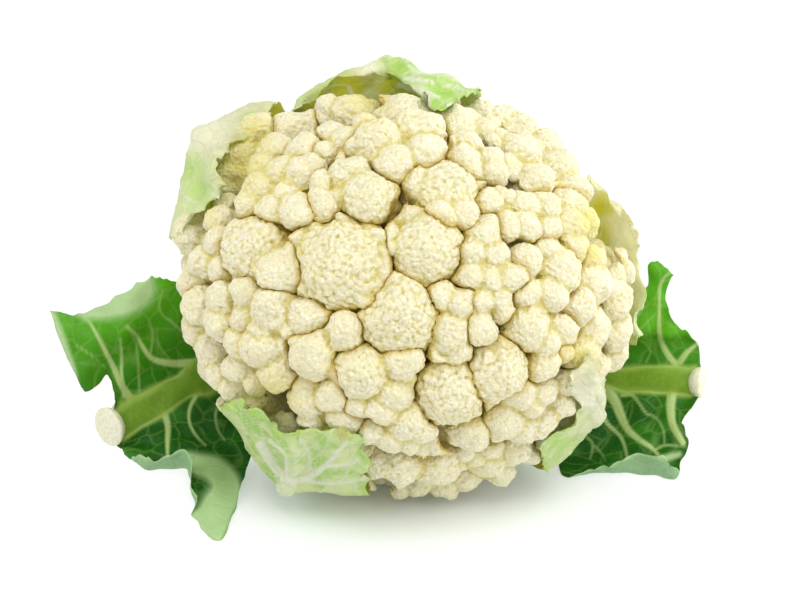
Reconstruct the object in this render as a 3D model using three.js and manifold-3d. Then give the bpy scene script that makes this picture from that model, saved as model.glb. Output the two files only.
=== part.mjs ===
// A trimmed cauliflower lying on its side: the curd, the stem it grew on, five small
// wrapper leaves that hug its rim, two large outer leaves with their tips cut off, and
// the cut bases of the leaves that were trimmed away.
//
// Millimetres, +Z up. The origin is on the floor, in the middle of the patch the curd
// rests on. The head looks towards -Y and a little upwards.
//
// Everything is drawn in the head's own frame: x across, y up, z along the head's axis
// out of the stem and through the crown of the curd. The group named head places it.

import * as THREE from 'three';
import { mergeVertices } from 'three/addons/utils/BufferGeometryUtils.js';
import Module from 'manifold-3d';

// ---------------------------------------------------------------- driving dimensions

const CURD = { across: 90, up: 79, front: 68, back: 45 }; // half sizes of the dome
const AXIS_TILT = THREE.MathUtils.degToRad(24); // the head's axis above the horizontal
const HEAD_CENTRE = { y: 21, z: 75 }; // the dome's centre, from the resting patch
const SIGHT_DISTANCE = 850; // bumps are placed as seen from here, on the head's axis

const STEM = { radius: 22, top: -58.6, butt: -93, bevel: 1.5 };
const GAP = 0.4; // between pieces that touch
const BLADE = 1.3; // thickness of a leaf away from its ribs

// ---------------------------------------------------------------------- materials

function material(color, roughness) {
  return new THREE.MeshStandardMaterial({ color, roughness, metalness: 0 });
}

// ------------------------------------------------------------------ joining, cutting

const wasm = await Module();
wasm.setup();

function toSolid(geometry) {
  const bare = geometry.clone();
  bare.deleteAttribute('normal');
  bare.deleteAttribute('uv');
  const merged = mergeVertices(bare, 1e-4);
  return new wasm.Manifold(new wasm.Mesh({
    numProp: 3,
    vertProperties: new Float32Array(merged.attributes.position.array),
    triVerts: new Uint32Array(merged.index.array),
  }));
}

function toGeometry(solid) {
  const mesh = solid.getMesh();
  const geometry = new THREE.BufferGeometry();
  geometry.setAttribute('position', new THREE.BufferAttribute(mesh.vertProperties, 3));
  geometry.setIndex(new THREE.BufferAttribute(mesh.triVerts, 1));
  geometry.computeVertexNormals();
  return geometry;
}

// The outside skin alone: pockets sealed in between overlapping solids are filled.
function outerSkin(solid) {
  return solid.decompose().reduce((a, b) => (a.volume() > b.volume() ? a : b));
}

// ---------------------------------------------------------------------- the head frame

const head = new THREE.Group();
head.position.set(0, HEAD_CENTRE.y, HEAD_CENTRE.z);
head.rotation.x = Math.PI / 2 - AXIS_TILT;
head.updateMatrix();

// The ground that the head lies on, as a block in the head's frame. What would dip into
// it is cut flat there, as the weight of the head presses it flat.
const groundGeometry = new THREE.BoxGeometry(500, 500, 80);
groundGeometry.translate(0, 0, -40);
groundGeometry.applyMatrix4(head.matrix.clone().invert());
const ground = toSolid(groundGeometry);

function addPiece(name, geometry, finish) {
  const piece = new THREE.Mesh(geometry, finish);
  piece.name = name;
  head.add(piece);
  return piece;
}

// ------------------------------------------------------------------------- the curd

// The bumps of the curd, one list for each branch of it: [across, up, radius, lift].
// Across and up are where the bump's middle is seen from the front. Lift is how far
// the bump stands proud of the dome, and is left out where it is level with it.
const BRANCHES = {
  middle: [[-22, 9, 18, 3], [-16, 37, 13, -1]],
  middle_right: [[9, 15, 15, 1]],
  below_middle: [[-2, -10, 16, 1]],
  left_of_middle: [[-53, 12, 16]],
  above_middle: [[12, 37, 16]],
  crown: [[-9, 56, 15], [-28, 68, 15], [5, 63, 16]],
  upper_left: [[-45, 49, 20], [-60, 33, 13]],
  left_edge: [[-78, 16, 15]],
  left: [[-74, -17, 16], [-53, -21, 14], [-66, -36, 14]],
  lower_left: [[-32, -25, 15], [-15, -31, 15], [-33, -45, 14], [-9, -51, 15]],
  lower_middle: [[17, -37, 16], [18, -13, 13]],
  lower_right: [[36, -27, 15]],
  right_of_middle: [[32, 14, 14], [33, -3, 13]],
  right: [[48, -11, 13], [56, 8, 16]],
  upper_right: [[23, 65, 13], [27, 49, 13], [46, 60, 15], [58, 47, 14]],
  right_shoulder: [[37, 29, 13], [52, 29, 16], [69, 35, 13]],
  right_rim: [[78, 11, 13], [80, -13, 14], [65, -18, 15]],
  lower_right_rim: [[47, -41, 13], [61, -42, 13], [47, -55, 13]],
  bottom: [[14, -64, 15], [-5, -67, 14], [31, -61, 14], [-23, -61, 14], [-47, -53, 14]],
};

// Where the line of sight through (across, up) meets the dome made smaller by the bump's
// radius, so that the bump's outer side touches the dome. Where it misses, the nearest
// point to the line is the rim.
function bumpCentre([across, up, radius, lift = 0]) {
  const inset = radius - lift;
  const spread = (across / (CURD.across - inset)) ** 2 + (up / (CURD.up - inset)) ** 2;
  const depth = (SIGHT_DISTANCE / (CURD.front - inset)) ** 2;
  const root = Math.sqrt(Math.max(0, depth ** 2 - (spread + depth) * (depth - 1)));
  const t = (depth - root) / (spread + depth);
  return new THREE.Vector3(across * t, up * t, SIGHT_DISTANCE * (1 - t));
}

function bumpSolid(centre, radius) {
  const ball = new THREE.IcosahedronGeometry(radius, 1);
  ball.rotateX(centre.y);
  ball.rotateY(centre.x);
  ball.translate(centre.x, centre.y, centre.z);
  return toSolid(ball);
}

// Behind the rim the bumps go on in rings, each one narrower than the last, until the
// leaves and the branches' own stalks take over.
const HIDDEN_RINGS = [
  { z: -8, count: 13, radius: 17, turn: 0 },
  { z: -24, count: 10, radius: 17, turn: 0.2 },
];

function hiddenBumps() {
  const bumps = [];
  for (const ring of HIDDEN_RINGS) {
    const shrink = Math.sqrt(1 - (ring.z / CURD.back) ** 2);
    for (let i = 0; i < ring.count; i += 1) {
      const angle = (2 * Math.PI * i) / ring.count + ring.turn;
      const centre = new THREE.Vector3(
        (CURD.across * shrink - ring.radius) * Math.cos(angle),
        (CURD.up * shrink - ring.radius) * Math.sin(angle),
        ring.z + 3,
      );
      bumps.push(bumpSolid(centre, ring.radius));
    }
  }
  return bumps;
}

// The bump the head lies on is right under the origin's plane, so its cut face holds
// the origin.
function restingBump() {
  const radius = 15;
  const centre = new THREE.Vector3(0, 0, radius - 2.2);
  centre.applyMatrix4(head.matrix.clone().invert());
  return bumpSolid(centre, radius);
}

// Under the bumps the branches stand so close that they fill the dome, and behind it they
// run together in a cone as wide as the stem.
function heart() {
  const profile = [
    [0, -58.2], [23, -58.2], [39, -44], [62, -28], [75, -10], [79, 5], [75, 24], [61, 41],
    [37, 53], [0, 59],
  ].map(([r, z]) => new THREE.Vector2(r, z));
  const geometry = new THREE.LatheGeometry(profile, 28);
  geometry.rotateX(Math.PI / 2);
  geometry.scale(1, CURD.up / CURD.across, 1);
  return toSolid(geometry);
}

const curd = outerSkin(
  Object.values(BRANCHES).flat()
    .map((bump) => bumpSolid(bumpCentre(bump), bump[2]))
    .concat(hiddenBumps(), restingBump())
    .reduce((whole, bump) => whole.add(bump), heart())
    .subtract(ground),
);

addPiece('curd', toGeometry(curd), material('#efe6c6', 0.75));

// ------------------------------------------------------------------------- the stem

const stemProfile = [
  [0, STEM.butt],
  [STEM.radius - STEM.bevel, STEM.butt],
  [STEM.radius, STEM.butt + STEM.bevel],
  [STEM.radius, STEM.top],
  [0, STEM.top],
].map(([r, z]) => new THREE.Vector2(r, z));
const stemGeometry = new THREE.LatheGeometry(stemProfile, 32);
stemGeometry.rotateX(Math.PI / 2);
addPiece('stem', stemGeometry, material('#dfe3b4', 0.6));

// ------------------------------------------------------------------------ the leaves

// A smooth sheet through a net of points: rows from the leaf's base to its tip, and in
// each row points from one margin to the other.
function pointOnNet(net, s, q) {
  const across = net.map((row) => new THREE.CatmullRomCurve3(row).getPoint(q));
  return new THREE.CatmullRomCurve3(across).getPoint(s);
}

// A closed sheet. The net is its inner face, and the outer face lies behind it by the
// thickness that thicknessAt gives. Steps across crowd towards the midrib at q = 0.5.
function leafSolid(net, thicknessAt, stepsAlong, stepsAcross) {
  const columns = [];
  for (let j = 0; j <= stepsAcross; j += 1) {
    const side = (2 * j) / stepsAcross - 1;
    columns.push(0.5 + 0.5 * Math.sign(side) * Math.abs(side) ** 1.4);
  }
  const inner = [];
  const outer = [];
  const d = 0.01;
  for (let i = 0; i <= stepsAlong; i += 1) {
    for (const q of columns) {
      const s = i / stepsAlong;
      const point = pointOnNet(net, s, q);
      const along = pointOnNet(net, Math.min(1, s + d), q)
        .sub(pointOnNet(net, Math.max(0, s - d), q));
      const across = pointOnNet(net, s, Math.min(1, q + d))
        .sub(pointOnNet(net, s, Math.max(0, q - d)));
      const outwards = across.cross(along).normalize();
      inner.push(point);
      outer.push(point.clone().addScaledVector(outwards, thicknessAt(s, 2 * q - 1)));
    }
  }
  const width = columns.length;
  const count = inner.length;
  const triangles = [];
  const quad = (a, b, c, e) => triangles.push(a, c, b, a, e, c);
  for (let i = 0; i < stepsAlong; i += 1) {
    for (let j = 0; j < stepsAcross; j += 1) {
      const a = i * width + j;
      quad(a, a + 1, a + width + 1, a + width);
      quad(a + count, a + width + count, a + width + 1 + count, a + 1 + count);
    }
    const left = i * width;
    const right = left + stepsAcross;
    quad(left, left + width, left + width + count, left + count);
    quad(right, right + count, right + width + count, right + width);
  }
  const last = stepsAlong * width;
  for (let j = 0; j < stepsAcross; j += 1) {
    quad(j, j + count, j + 1 + count, j + 1);
    quad(last + j, last + j + 1, last + j + 1 + count, last + j + count);
  }
  const geometry = new THREE.BufferGeometry().setFromPoints([...inner, ...outer]);
  geometry.setIndex(triangles);
  return toSolid(geometry).subtract(ground);
}

// Thickness of a leaf: the blade, and over it a midrib that thins from base to tip.
function ribbed({ base, tip, width }) {
  return (s, side) => {
    const rib = base + (tip - base) * Math.sqrt(s);
    return BLADE + rib * Math.exp(-((side / width) ** 2));
  };
}

// --- wrapper leaves: small, pale, cupped round the rim of the curd

function rimRadius(angle) {
  return 1 / Math.hypot(Math.cos(angle) / CURD.across, Math.sin(angle) / CURD.up);
}

// The spine runs in the plane through the head's axis at the leaf's azimuth, as points
// [distance from the axis, along the axis, half the leaf's width there]. The rows curl
// round the head at the spine's distance, and the margins wave a little at the tip.
function wrapperNet({ azimuth, spine, wave = 2, droop = 6 }) {
  const middle = THREE.MathUtils.degToRad(azimuth);
  const rows = spine.length - 1;
  return spine.map(([distance, along, halfWidth], row) => [-1, -0.5, 0, 0.5, 1].map((side) => {
    const angle = middle + (side * halfWidth) / distance;
    const free = (row / rows) ** 3;
    const oval = 1 + (rimRadius(angle) / rimRadius(middle) - 1) * Math.min(1, row / 2);
    const r = distance * oval + free * wave * Math.sin(7 * side + azimuth);
    const z = along - free * droop * side * side;
    return new THREE.Vector3(r * Math.cos(angle), r * Math.sin(angle), z);
  }));
}

const STEM_SIDE = STEM.radius + GAP;

const WRAPPER_LEAVES = {
  wrapper_leaf_top: {
    azimuth: 98,
    spine: [[STEM_SIDE, -70, 8], [33, -60, 15], [60, -43, 30], [79, -26, 38], [88, -6, 39],
      [91, 8, 36]],
  },
  wrapper_leaf_upper_left: {
    azimuth: 149,
    spine: [[STEM_SIDE, -70, 7], [33, -60, 11], [60, -43, 20], [82, -26, 28], [94, -8, 31],
      [96, 8, 26]],
  },
  wrapper_leaf_right: {
    azimuth: 13,
    spine: [[STEM_SIDE, -70, 7], [33, -60, 12], [60, -43, 22], [83, -27, 31], [94, -8, 34],
      [94, 4, 30]],
  },
  wrapper_leaf_lower_right: {
    azimuth: -42,
    spine: [[STEM_SIDE, -70, 7], [33, -60, 11], [60, -43, 20], [80, -26, 29], [90, -6, 32],
      [90, 12, 28]],
  },
  wrapper_leaf_lower_left: {
    azimuth: -124,
    spine: [[STEM_SIDE, -70, 8], [33, -60, 13], [60, -43, 24], [79, -24, 34], [86, -2, 37],
      [84, 20, 35], [76, 36, 30]],
  },
};

const wrapperFinish = material('#c3dc8a', 0.55);
for (const [name, leaf] of Object.entries(WRAPPER_LEAVES)) {
  const solid = leafSolid(wrapperNet(leaf), ribbed({ base: 4, tip: 0.4, width: 0.3 }), 12, 10);
  addPiece(name, toGeometry(solid.subtract(curd)), wrapperFinish);
}

// --- outer leaves: large and dark, grown from low on the stem, trimmed across the midrib

// A row of points in the head's frame, from margin to margin, counter-clockwise round the
// head as every leaf's rows run.
const row = (...points) => points.map(([x, y, z]) => new THREE.Vector3(x, y, z));

// The first row of an outer leaf follows the stem's side.
function baseRow(azimuth, z) {
  return [-34, -22, -11, 0, 11, 22, 34].map((turn) => {
    const angle = THREE.MathUtils.degToRad(azimuth + turn);
    return new THREE.Vector3(STEM_SIDE * Math.cos(angle), STEM_SIDE * Math.sin(angle), z);
  });
}

const rightNet = [
  baseRow(-17, -79),
  row([47, -48, -56], [49, -41, -60], [50, -34, -65], [52, -25, -68], [53, -14, -66],
    [53, -4, -63], [52, 6, -60]),
  row([63, -75, -18], [70, -66, -33], [75, -54, -46], [80, -37, -55], [82, -18, -54],
    [83, 4, -50], [84, 22, -44]),
  row([88, -72, -25], [93, -64, -34], [97, -53, -42], [102, -39, -46], [103, -20, -44],
    [104, -4, -41], [104, 13, -38]),
  row([107, -71, -21], [108, -62, -29], [109, -51, -35], [113, -39, -40], [111, -28, -38],
    [109, -18, -36], [108, -6, -34]),
  row([114, -60, -27], [116, -52, -31], [118, -44, -34], [121, -39, -36], [121, -34, -35],
    [120, -31, -34], [119, -28, -33]),
];

const leftNet = [
  baseRow(-155.6, -79),
  row([-57, 3, -58], [-56, -6, -62], [-55, -14, -65], [-51, -24, -67],
    [-47, -34, -65], [-44, -42, -60], [-41, -49, -56]),
  row([-88, 4, -42], [-88, -8, -46], [-87, -22, -48], [-85, -38, -50],
    [-73, -55, -42], [-62, -68, -26], [-52, -77, -12]),
  row([-107, 2, -34], [-107, -10, -38], [-105, -26, -41], [-103, -47, -42],
    [-94, -61, -33], [-78, -76, -10], [-69, -90, 21]),
  row([-137, -8, -26], [-126, -19, -32], [-118, -33, -37], [-112, -51, -39],
    [-108, -60, -34], [-97, -71, -18], [-90, -77, -6]),
  row([-130, -22, -30], [-125, -37, -34], [-122, -47, -36], [-120, -53, -37],
    [-116, -58, -35], [-111, -62, -32], [-106, -66, -26]),
];

const outerFinish = material('#3f7d24', 0.5);
const outerRib = ribbed({ base: 11, tip: 9, width: 0.16 });
for (const [name, net] of [['outer_leaf_left', leftNet], ['outer_leaf_right', rightNet]]) {
  addPiece(name, toGeometry(leafSolid(net, outerRib, 16, 14)), outerFinish);
}

// --- cut leaf bases: thick stalks left where outer leaves were trimmed away

const CUT_BASES = {
  cut_base_top_right: { azimuth: 44, length: 34 },
  cut_base_top: { azimuth: 94, length: 30 },
  cut_base_top_left: { azimuth: 144, length: 34 },
  cut_base_under: { azimuth: -88, length: 32 },
};

// Each one leaves the stem's side and bends up towards the curd.
function cutBaseNet({ azimuth, length }) {
  const middle = THREE.MathUtils.degToRad(azimuth);
  return [0, 0.35, 0.7, 1].map((share) => [-1, -0.5, 0, 0.5, 1].map((side) => {
    const distance = STEM_SIDE + length * share;
    const halfWidth = 8.6 + 3 * share;
    const angle = middle + (side * halfWidth) / distance;
    const z = -80 + 14 * share ** 1.5 + 3 * side * side;
    return new THREE.Vector3(distance * Math.cos(angle), distance * Math.sin(angle), z);
  }));
}

const cutBaseFinish = material('#cfe0a0', 0.5);
for (const [name, stub] of Object.entries(CUT_BASES)) {
  const rib = (s, side) => 2.5 + (9 - 2 * s) * Math.sqrt(Math.max(0, 1 - side * side));
  addPiece(name, toGeometry(leafSolid(cutBaseNet(stub), rib, 5, 8)), cutBaseFinish);
}

const cauliflower = new THREE.Group();
cauliflower.name = 'cauliflower';
cauliflower.add(head);

export default cauliflower;
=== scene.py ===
# %% [markdown]
# # A cauliflower lying on its side
#
# The head was cut from its root, trimmed, and laid down so that the crown of its curd
# looks at us. This lesson builds it from the inside out: first the white curd, bump by
# bump, then the stalks and the stem behind it, then the leaves round it.
#
# All places are worked out in millimetres in the head's own frame: across, up, and
# towards the viewer along the head's axis. Each piece is turned into Blender's metres
# only when its mesh is made.

# %% Load the frame
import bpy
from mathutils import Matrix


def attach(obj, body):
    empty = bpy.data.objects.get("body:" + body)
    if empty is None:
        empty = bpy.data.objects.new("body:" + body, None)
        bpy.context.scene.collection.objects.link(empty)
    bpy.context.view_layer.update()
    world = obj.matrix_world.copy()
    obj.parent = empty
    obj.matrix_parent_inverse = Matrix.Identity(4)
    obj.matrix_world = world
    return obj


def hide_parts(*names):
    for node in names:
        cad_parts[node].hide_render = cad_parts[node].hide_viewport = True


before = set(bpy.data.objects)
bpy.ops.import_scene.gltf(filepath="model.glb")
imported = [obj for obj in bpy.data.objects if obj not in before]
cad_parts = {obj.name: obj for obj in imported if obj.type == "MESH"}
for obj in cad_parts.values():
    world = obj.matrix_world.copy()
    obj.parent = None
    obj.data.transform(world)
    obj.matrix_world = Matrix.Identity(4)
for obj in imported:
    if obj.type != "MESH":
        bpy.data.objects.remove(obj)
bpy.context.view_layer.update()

# %% Modules
import math
import time

import bpy
import numpy as np
import openvdb
from mathutils import Vector

started = time.time()


def report(what):
    """Prints what was just made, and how many seconds the lesson has run."""
    print(f"[{time.time() - started:5.1f} s] {what}")


# %% [markdown]
# ## The head's frame
#
# The head leans back by 24 degrees, so that its axis points at the camera. The centre of
# the dome hangs 75 mm above the table. One function holds this turn, so that all the
# shaping below can forget about it.

# %% The head's frame
MM = 0.001
AXIS_TILT = math.radians(24)
HEAD_CENTRE = np.array([0.0, 21.0, 75.0])
ACROSS = np.array([1.0, 0.0, 0.0])
UP = np.array([0.0, math.sin(AXIS_TILT), math.cos(AXIS_TILT)])
TOWARDS = np.array([0.0, -math.cos(AXIS_TILT), math.sin(AXIS_TILT)])
HEAD_TURN = np.stack([ACROSS, UP, TOWARDS])


def to_world(points):
    """Head frame, millimetres, to the row's frame, metres. Nothing goes below the table."""
    world = (HEAD_CENTRE + points @ HEAD_TURN) * MM
    world[:, 2] = np.maximum(world[:, 2], 0.0)
    return world


def height_above_table(points):
    """Height of places in the head's frame above the table, in mm."""
    return HEAD_CENTRE[2] + points @ HEAD_TURN[:, 2]


# %% [markdown]
# ## The camera
#
# A long lens from most of a metre away, looking down along the head's axis. Such a lens
# flattens the dome a little and keeps the far rim almost as large as the near bumps.
#
# Much of the head is easiest to place as it is seen from there: how far across and up a
# thing looks, measured in the plane through the dome's centre, and how far forward it
# lies. Two functions turn such places into the head's frame and back.

# %% The camera
CAMERA_DISTANCE = 850.0               # mm from the dome's centre
AIM = np.array([-3.5, -1.4, 0.0])     # the middle of the view, in the head's frame

camera_data = bpy.data.cameras.new("camera")
camera_data.lens = 100                # mm, a long lens
camera_data.sensor_width = 36         # mm
camera = bpy.data.objects.new("camera", camera_data)
bpy.context.collection.objects.link(camera)
place = to_world((AIM + [0, 0, CAMERA_DISTANCE])[None])[0]
camera.location = Vector(place)
camera.rotation_euler = Vector(-TOWARDS).to_track_quat("-Z", "Y").to_euler()
bpy.context.scene.camera = camera
print("camera at", [round(c, 3) for c in camera.location])


# %% Places as seen from the front
def seen_to_head(points):
    """Places as seen from the front, with their depth, to the head's frame."""
    points = np.array(points, float)
    share = (CAMERA_DISTANCE - points[..., 2:]) / CAMERA_DISTANCE
    return np.concatenate([points[..., :2] * share, points[..., 2:]], axis=-1)


def head_to_seen(points):
    """Across and up as seen from the front."""
    return points[..., :2] * CAMERA_DISTANCE / (CAMERA_DISTANCE - points[..., 2:])


def nearness(points, places):
    """1 at some places as seen from the front, 0 elsewhere, with soft edges."""
    seen = head_to_seen(points)
    return np.max([
        np.exp(-((seen[..., 0] - across) ** 2 + (seen[..., 1] - up) ** 2) / size ** 2)
        for across, up, size in places], axis=0)


# %% [markdown]
# ## Small tools
#
# Three helpers do work that comes back all the time: smooth noise, a mesh from arrays,
# and a node with its settings and links.

# %% Smooth noise
WAVES = 9               # so many are added up that no single one stands out


def waves(points, wavelength, seed):
    """Smooth noise of about -1 to 1: plane waves of random directions, added up."""
    rng = np.random.default_rng(seed)
    directions = rng.normal(size=(WAVES, points.shape[1]))
    directions /= np.linalg.norm(directions, axis=1, keepdims=True)
    lengths = wavelength * rng.uniform(0.75, 1.5, WAVES)
    phases = rng.uniform(0, 2 * np.pi, WAVES)
    turns = points @ (directions / lengths[:, None]).T * 2 * np.pi + phases
    return np.sin(turns).sum(axis=1) / math.sqrt(WAVES) * 0.8


def warp(points, wavelength, amount, seed):
    """Moves points by smooth noise in all three directions."""
    shift = [waves(points, wavelength, seed + axis) for axis in range(3)]
    return points + amount * np.stack(shift, axis=1)


# %% A mesh from arrays
def make_piece(name, points, faces, attributes=None):
    """A mesh object from points in the head's frame and quads, with a smooth surface."""
    mesh = bpy.data.meshes.new(name)
    mesh.vertices.add(len(points))
    mesh.vertices.foreach_set("co", to_world(points).astype(np.float32).ravel())
    mesh.loops.add(faces.size)
    mesh.loops.foreach_set("vertex_index", faces.astype(np.int32).ravel())
    mesh.polygons.add(len(faces))
    starts = np.arange(len(faces), dtype=np.int32) * faces.shape[1]
    mesh.polygons.foreach_set("loop_start", starts)
    for key, values in (attributes or {}).items():
        layer = mesh.attributes.new(key, "FLOAT", "POINT")
        layer.data.foreach_set("value", values.astype(np.float32))
    mesh.update(calc_edges=True)
    mesh.validate()
    mesh.shade_smooth()
    piece = bpy.data.objects.new(name, mesh)
    bpy.context.collection.objects.link(piece)
    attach(piece, "root")
    return piece


# %% A node with its settings and links
def colour(hex_code):
    """An sRGB hex colour as the linear values that Blender's sockets hold."""
    parts = [int(hex_code[i:i + 2], 16) / 255 for i in (1, 3, 5)]
    linear = [c / 12.92 if c <= 0.04045 else ((c + 0.055) / 1.055) ** 2.4 for c in parts]
    return (*linear, 1.0)


def add_node(tree, kind, sockets=None, **settings):
    """Adds one shader node. A socket is given a value, a hex colour, or another node's
    output, which is linked to it."""
    node = tree.nodes.new("ShaderNode" + kind)
    for key, value in settings.items():
        setattr(node, key, value)
    for key, value in (sockets or {}).items():
        if isinstance(value, bpy.types.NodeSocket):
            tree.links.new(value, node.inputs[key])
        else:
            node.inputs[key].default_value = colour(value) if isinstance(value, str) else value
    return node


def per_metre(size):
    """How often a pattern repeats in a metre, from the real size of its cells in mm."""
    return 1 / (size * MM)


def new_material(name):
    """An empty node material, its tree, and its output node."""
    material = bpy.data.materials.new(name)
    material.use_nodes = True
    material.node_tree.nodes.clear()
    return material, material.node_tree, add_node(material.node_tree, "OutputMaterial")


# %% [markdown]
# ## The bumps of the curd
#
# A curd is one growth that has forked over and over: stalk, branch, twig, and at the tips
# tens of thousands of flower buds that never open. From outside each branch shows as a
# rounded bump, a bump shows smaller bumps, and those show buds.
#
# The big bumps are listed one by one, because their pattern is what makes one head differ
# from the next. Each is written as it is seen from the front: across, up, radius, and
# how far it stands proud of the dome.

# %% Places of the bumps in sight
CURD = {"across": 90.0, "up": 79.0, "front": 68.0, "back": 45.0}    # the dome's radii, mm

BRANCHES = {
    "middle": [(-22.5, 9.5, 16.5, 3)],
    "middle_right": [(8.5, 15.5, 12.5, 2)],
    "below_middle": [(-1.5, -9.5, 13, 3)],
    "left_of_middle": [(-55.5, 14.5, 13, 1), (-48, 7.5, 7.5, 1), (-64, 23, 5, -2)],
    "above_middle": [(15, 36.5, 11.5, 1), (4.5, 42, 6, -2), (13.5, 28, 5.5, 1),
        (21.5, 30, 5.5)],
    "crown_middle": [(-13.5, 35.5, 8.5, 2), (-21, 44.5, 6.5), (-32, 33.5, 6.5), (-33, 41.5, 4)],
    "crown_right": [(-9.5, 55, 10, 1), (-3.5, 49, 6.5, 2), (-0.5, 67.5, 9), (5, 59.5, 10),
        (7.5, 53, 6.5, 1)],
    "crown_left": [(-29, 69.5, 6.5), (-20.5, 69.5, 7), (-15.5, 64.5, 4, -1), (-23, 58, 5.5, -2),
        (-28.5, 61, 4.5, -2), (-32, 53, 5, -2)],
    "upper_left": [(-44.5, 62, 8.5), (-50.5, 54, 6.5), (-39.5, 54, 6.5), (-47.5, 45.5, 6.5),
        (-40.5, 45.5, 5), (-55.5, 38.5, 7), (-61, 33, 5), (-52, 31, 6), (-40.5, 30, 7),
        (-46, 37, 5, -1), (-36, 48, 4.5, -1), (-55.5, 48, 5, -1)],
    "left_shoulder": [(-82, 23, 8.5), (-72.5, 27, 5.5, -1), (-72.5, 19, 5, -1), (-77.5, 11.5, 6),
        (-81, 4, 6.5), (-71, 7.5, 5, -2)],
    "left": [(-62, -0.5, 5), (-71, -2.5, 5.5), (-79.5, -5, 6.5), (-51, -6.5, 7.5, 1),
        (-62.5, -10, 4.5, -1), (-71.5, -11.5, 5.5), (-80.5, -14.5, 6), (-55.5, -21.5, 6.5, 1),
        (-64.5, -19.5, 5), (-75.5, -22.5, 6.5), (-49.5, -32, 6.5), (-65.5, -29, 5),
        (-71.5, -32.5, 5), (-66, -38, 5), (-59, -36, 4, -1), (-37, -8.5, 7, -2),
        (-55.5, -14, 3.5, -1), (-59, -42.5, 4, -2)],
    "lower_left": [(-34.5, -24, 8, 2), (-23, -15, 6.5), (-37.5, -42, 6.5), (-28, -40, 5.5, 1),
        (-36, -49.5, 5, -1), (-23, -48, 6), (-29, -55.5, 5, -1), (-24.5, -31, 4.5, -1)],
    "lower": [(-16, -30, 9.5, 3), (-1, -26.5, 6.5, 1), (-9, -45, 5, 2), (-4.5, -38.5, 5.5, 1),
        (0, -49, 6.5, 1), (-13, -53.5, 5), (-6.5, -55.5, 5.5), (-17.5, -42.5, 5),
        (6, -53.5, 4.5, -1), (1, -57.5, 4.5, -1), (-20.5, -60.5, 5, -1)],
    "right_of_below": [(16, -14.5, 8), (13.5, -1, 5, -1), (21, -4.5, 4.5, -1),
        (19.5, -22.5, 4.5, -2)],
    "lower_middle": [(16.5, -37, 12, 2)],
    "right_of_middle": [(30, 21.5, 6.5), (25, 14.5, 5), (35, 14.5, 4), (24.5, 6, 4.5, -1),
        (32, 4.5, 6.5, -1), (28.5, -4.5, 4.5, -1), (36, -3, 4.5, -1), (28.5, -15, 5, 1),
        (38.5, -8, 3.5, -1), (40.5, 6, 5), (23, -10, 3.5, -2)],
    "lower_right": [(35, -29.5, 11, 3)],
    "right": [(46, -13, 8, 1), (47, -1, 5), (45.5, 11.5, 5.5), (57.5, 8.5, 8), (54, 17, 5, -1),
        (55.5, -1.5, 5), (59, -14.5, 6.5), (54, -19.5, 4), (52.5, -27.5, 5.5)],
    "upper_right": [(20.5, 64, 7.5, -1), (24, 57.5, 4.5, -1), (23.5, 48, 6.5), (33.5, 51, 4.5),
        (34.5, 45.5, 4.5), (30.5, 67.5, 6.5, -1), (37.5, 66, 6.5), (44, 61.5, 7.5), (44.5, 53, 7.5),
        (53.5, 55, 8), (58.5, 46.5, 8), (50.5, 42.5, 6), (64.5, 38.5, 6.5)],
    "right_shoulder": [(38.5, 38, 3.5), (32, 33.5, 4.5, -1), (38.5, 24.5, 4.5), (45.5, 33, 5),
        (45.5, 25, 5), (54, 31.5, 5.5), (54.5, 24, 5), (63.5, 32.5, 6.5), (63, 25, 6.5),
        (69.5, 27, 5, -1), (64.5, 17, 6, -1)],
    "right_rim": [(71.5, 2.5, 7.5), (80.5, -3, 7), (71.5, -14.5, 7.5), (66, -5.5, 6.5),
        (67.5, -22.5, 6.5), (81, -14, 6.5), (79.5, -23, 6.5), (72.5, 13, 5, -2), (60, -23, 4.5, -1),
        (74, -30, 4.5, -1)],
    "lower_right_rim": [(43.5, -38.5, 6.5), (53.5, -38, 5), (60, -43.5, 5.5), (37.5, -49, 7.5),
        (52, -49.5, 6.5), (45, -52.5, 5.5), (62.5, -35, 4.5, -1), (66, -42, 5, -2),
        (55.5, -57.5, 5, -1), (48.5, -43.5, 4.5)],
    "bottom": [(13, -65.5, 9), (-2.5, -66, 8), (25, -53.5, 7, -1), (33, -63, 8.5), (41.5, -61, 6.5),
        (23, -70.5, 6), (6, -73, 6, -1), (-10.5, -66, 6, -1), (37, -71, 5, -1), (15.5, -76, 5, -1),
        (48.5, -61, 4.5, -1)],
    "behind_the_leaf": [(-58, 62.5, 6, -5), (-64, 55, 6, -5), (-67, 46.5, 5.5, -4),
        (-60, 49, 5.5, -5), (-68.5, 39.5, 4.5, -4)],
    "bottom_left": [(-20.5, -66, 7.5, -1), (-32, -63, 7.5, -1), (-44.5, -57.5, 7.5, -2),
        (-53, -51.5, 6.5, -3), (-40.5, -67, 6.5, -3), (-23, -73, 6, -2)],
}


# %% From what shows to the whole bump
def bump_centre(across, up, radius, lift=0):
    """Where the line of sight through a place meets the dome, made smaller by the bump."""
    inset = radius - lift
    spread = (across / (CURD["across"] - inset)) ** 2 + (up / (CURD["up"] - inset)) ** 2
    depth = (CAMERA_DISTANCE / (CURD["front"] - inset)) ** 2
    root = math.sqrt(max(0.0, depth ** 2 - (spread + depth) * (depth - 1)))
    t = (depth - root) / (spread + depth)
    return np.array([across * t, up * t, CAMERA_DISTANCE * (1 - t)])


def grown_bump(across, up, radius, lift=0):
    """A bump's centre and full radius: bumps press on their neighbours, so each is wider
    than it shows, and small ones most of all. It keeps its height over the dome."""
    full = radius * 1.12 + 1.1
    reach = math.hypot(across, up)
    near_rim = max(0.0, math.hypot(across / CURD["across"], up / CURD["up"]) - 0.55) / 0.4
    inwards = 1 - (full - radius) * min(near_rim, 1.0) / reach
    return bump_centre(across * inwards, up * inwards, full, lift), full


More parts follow.
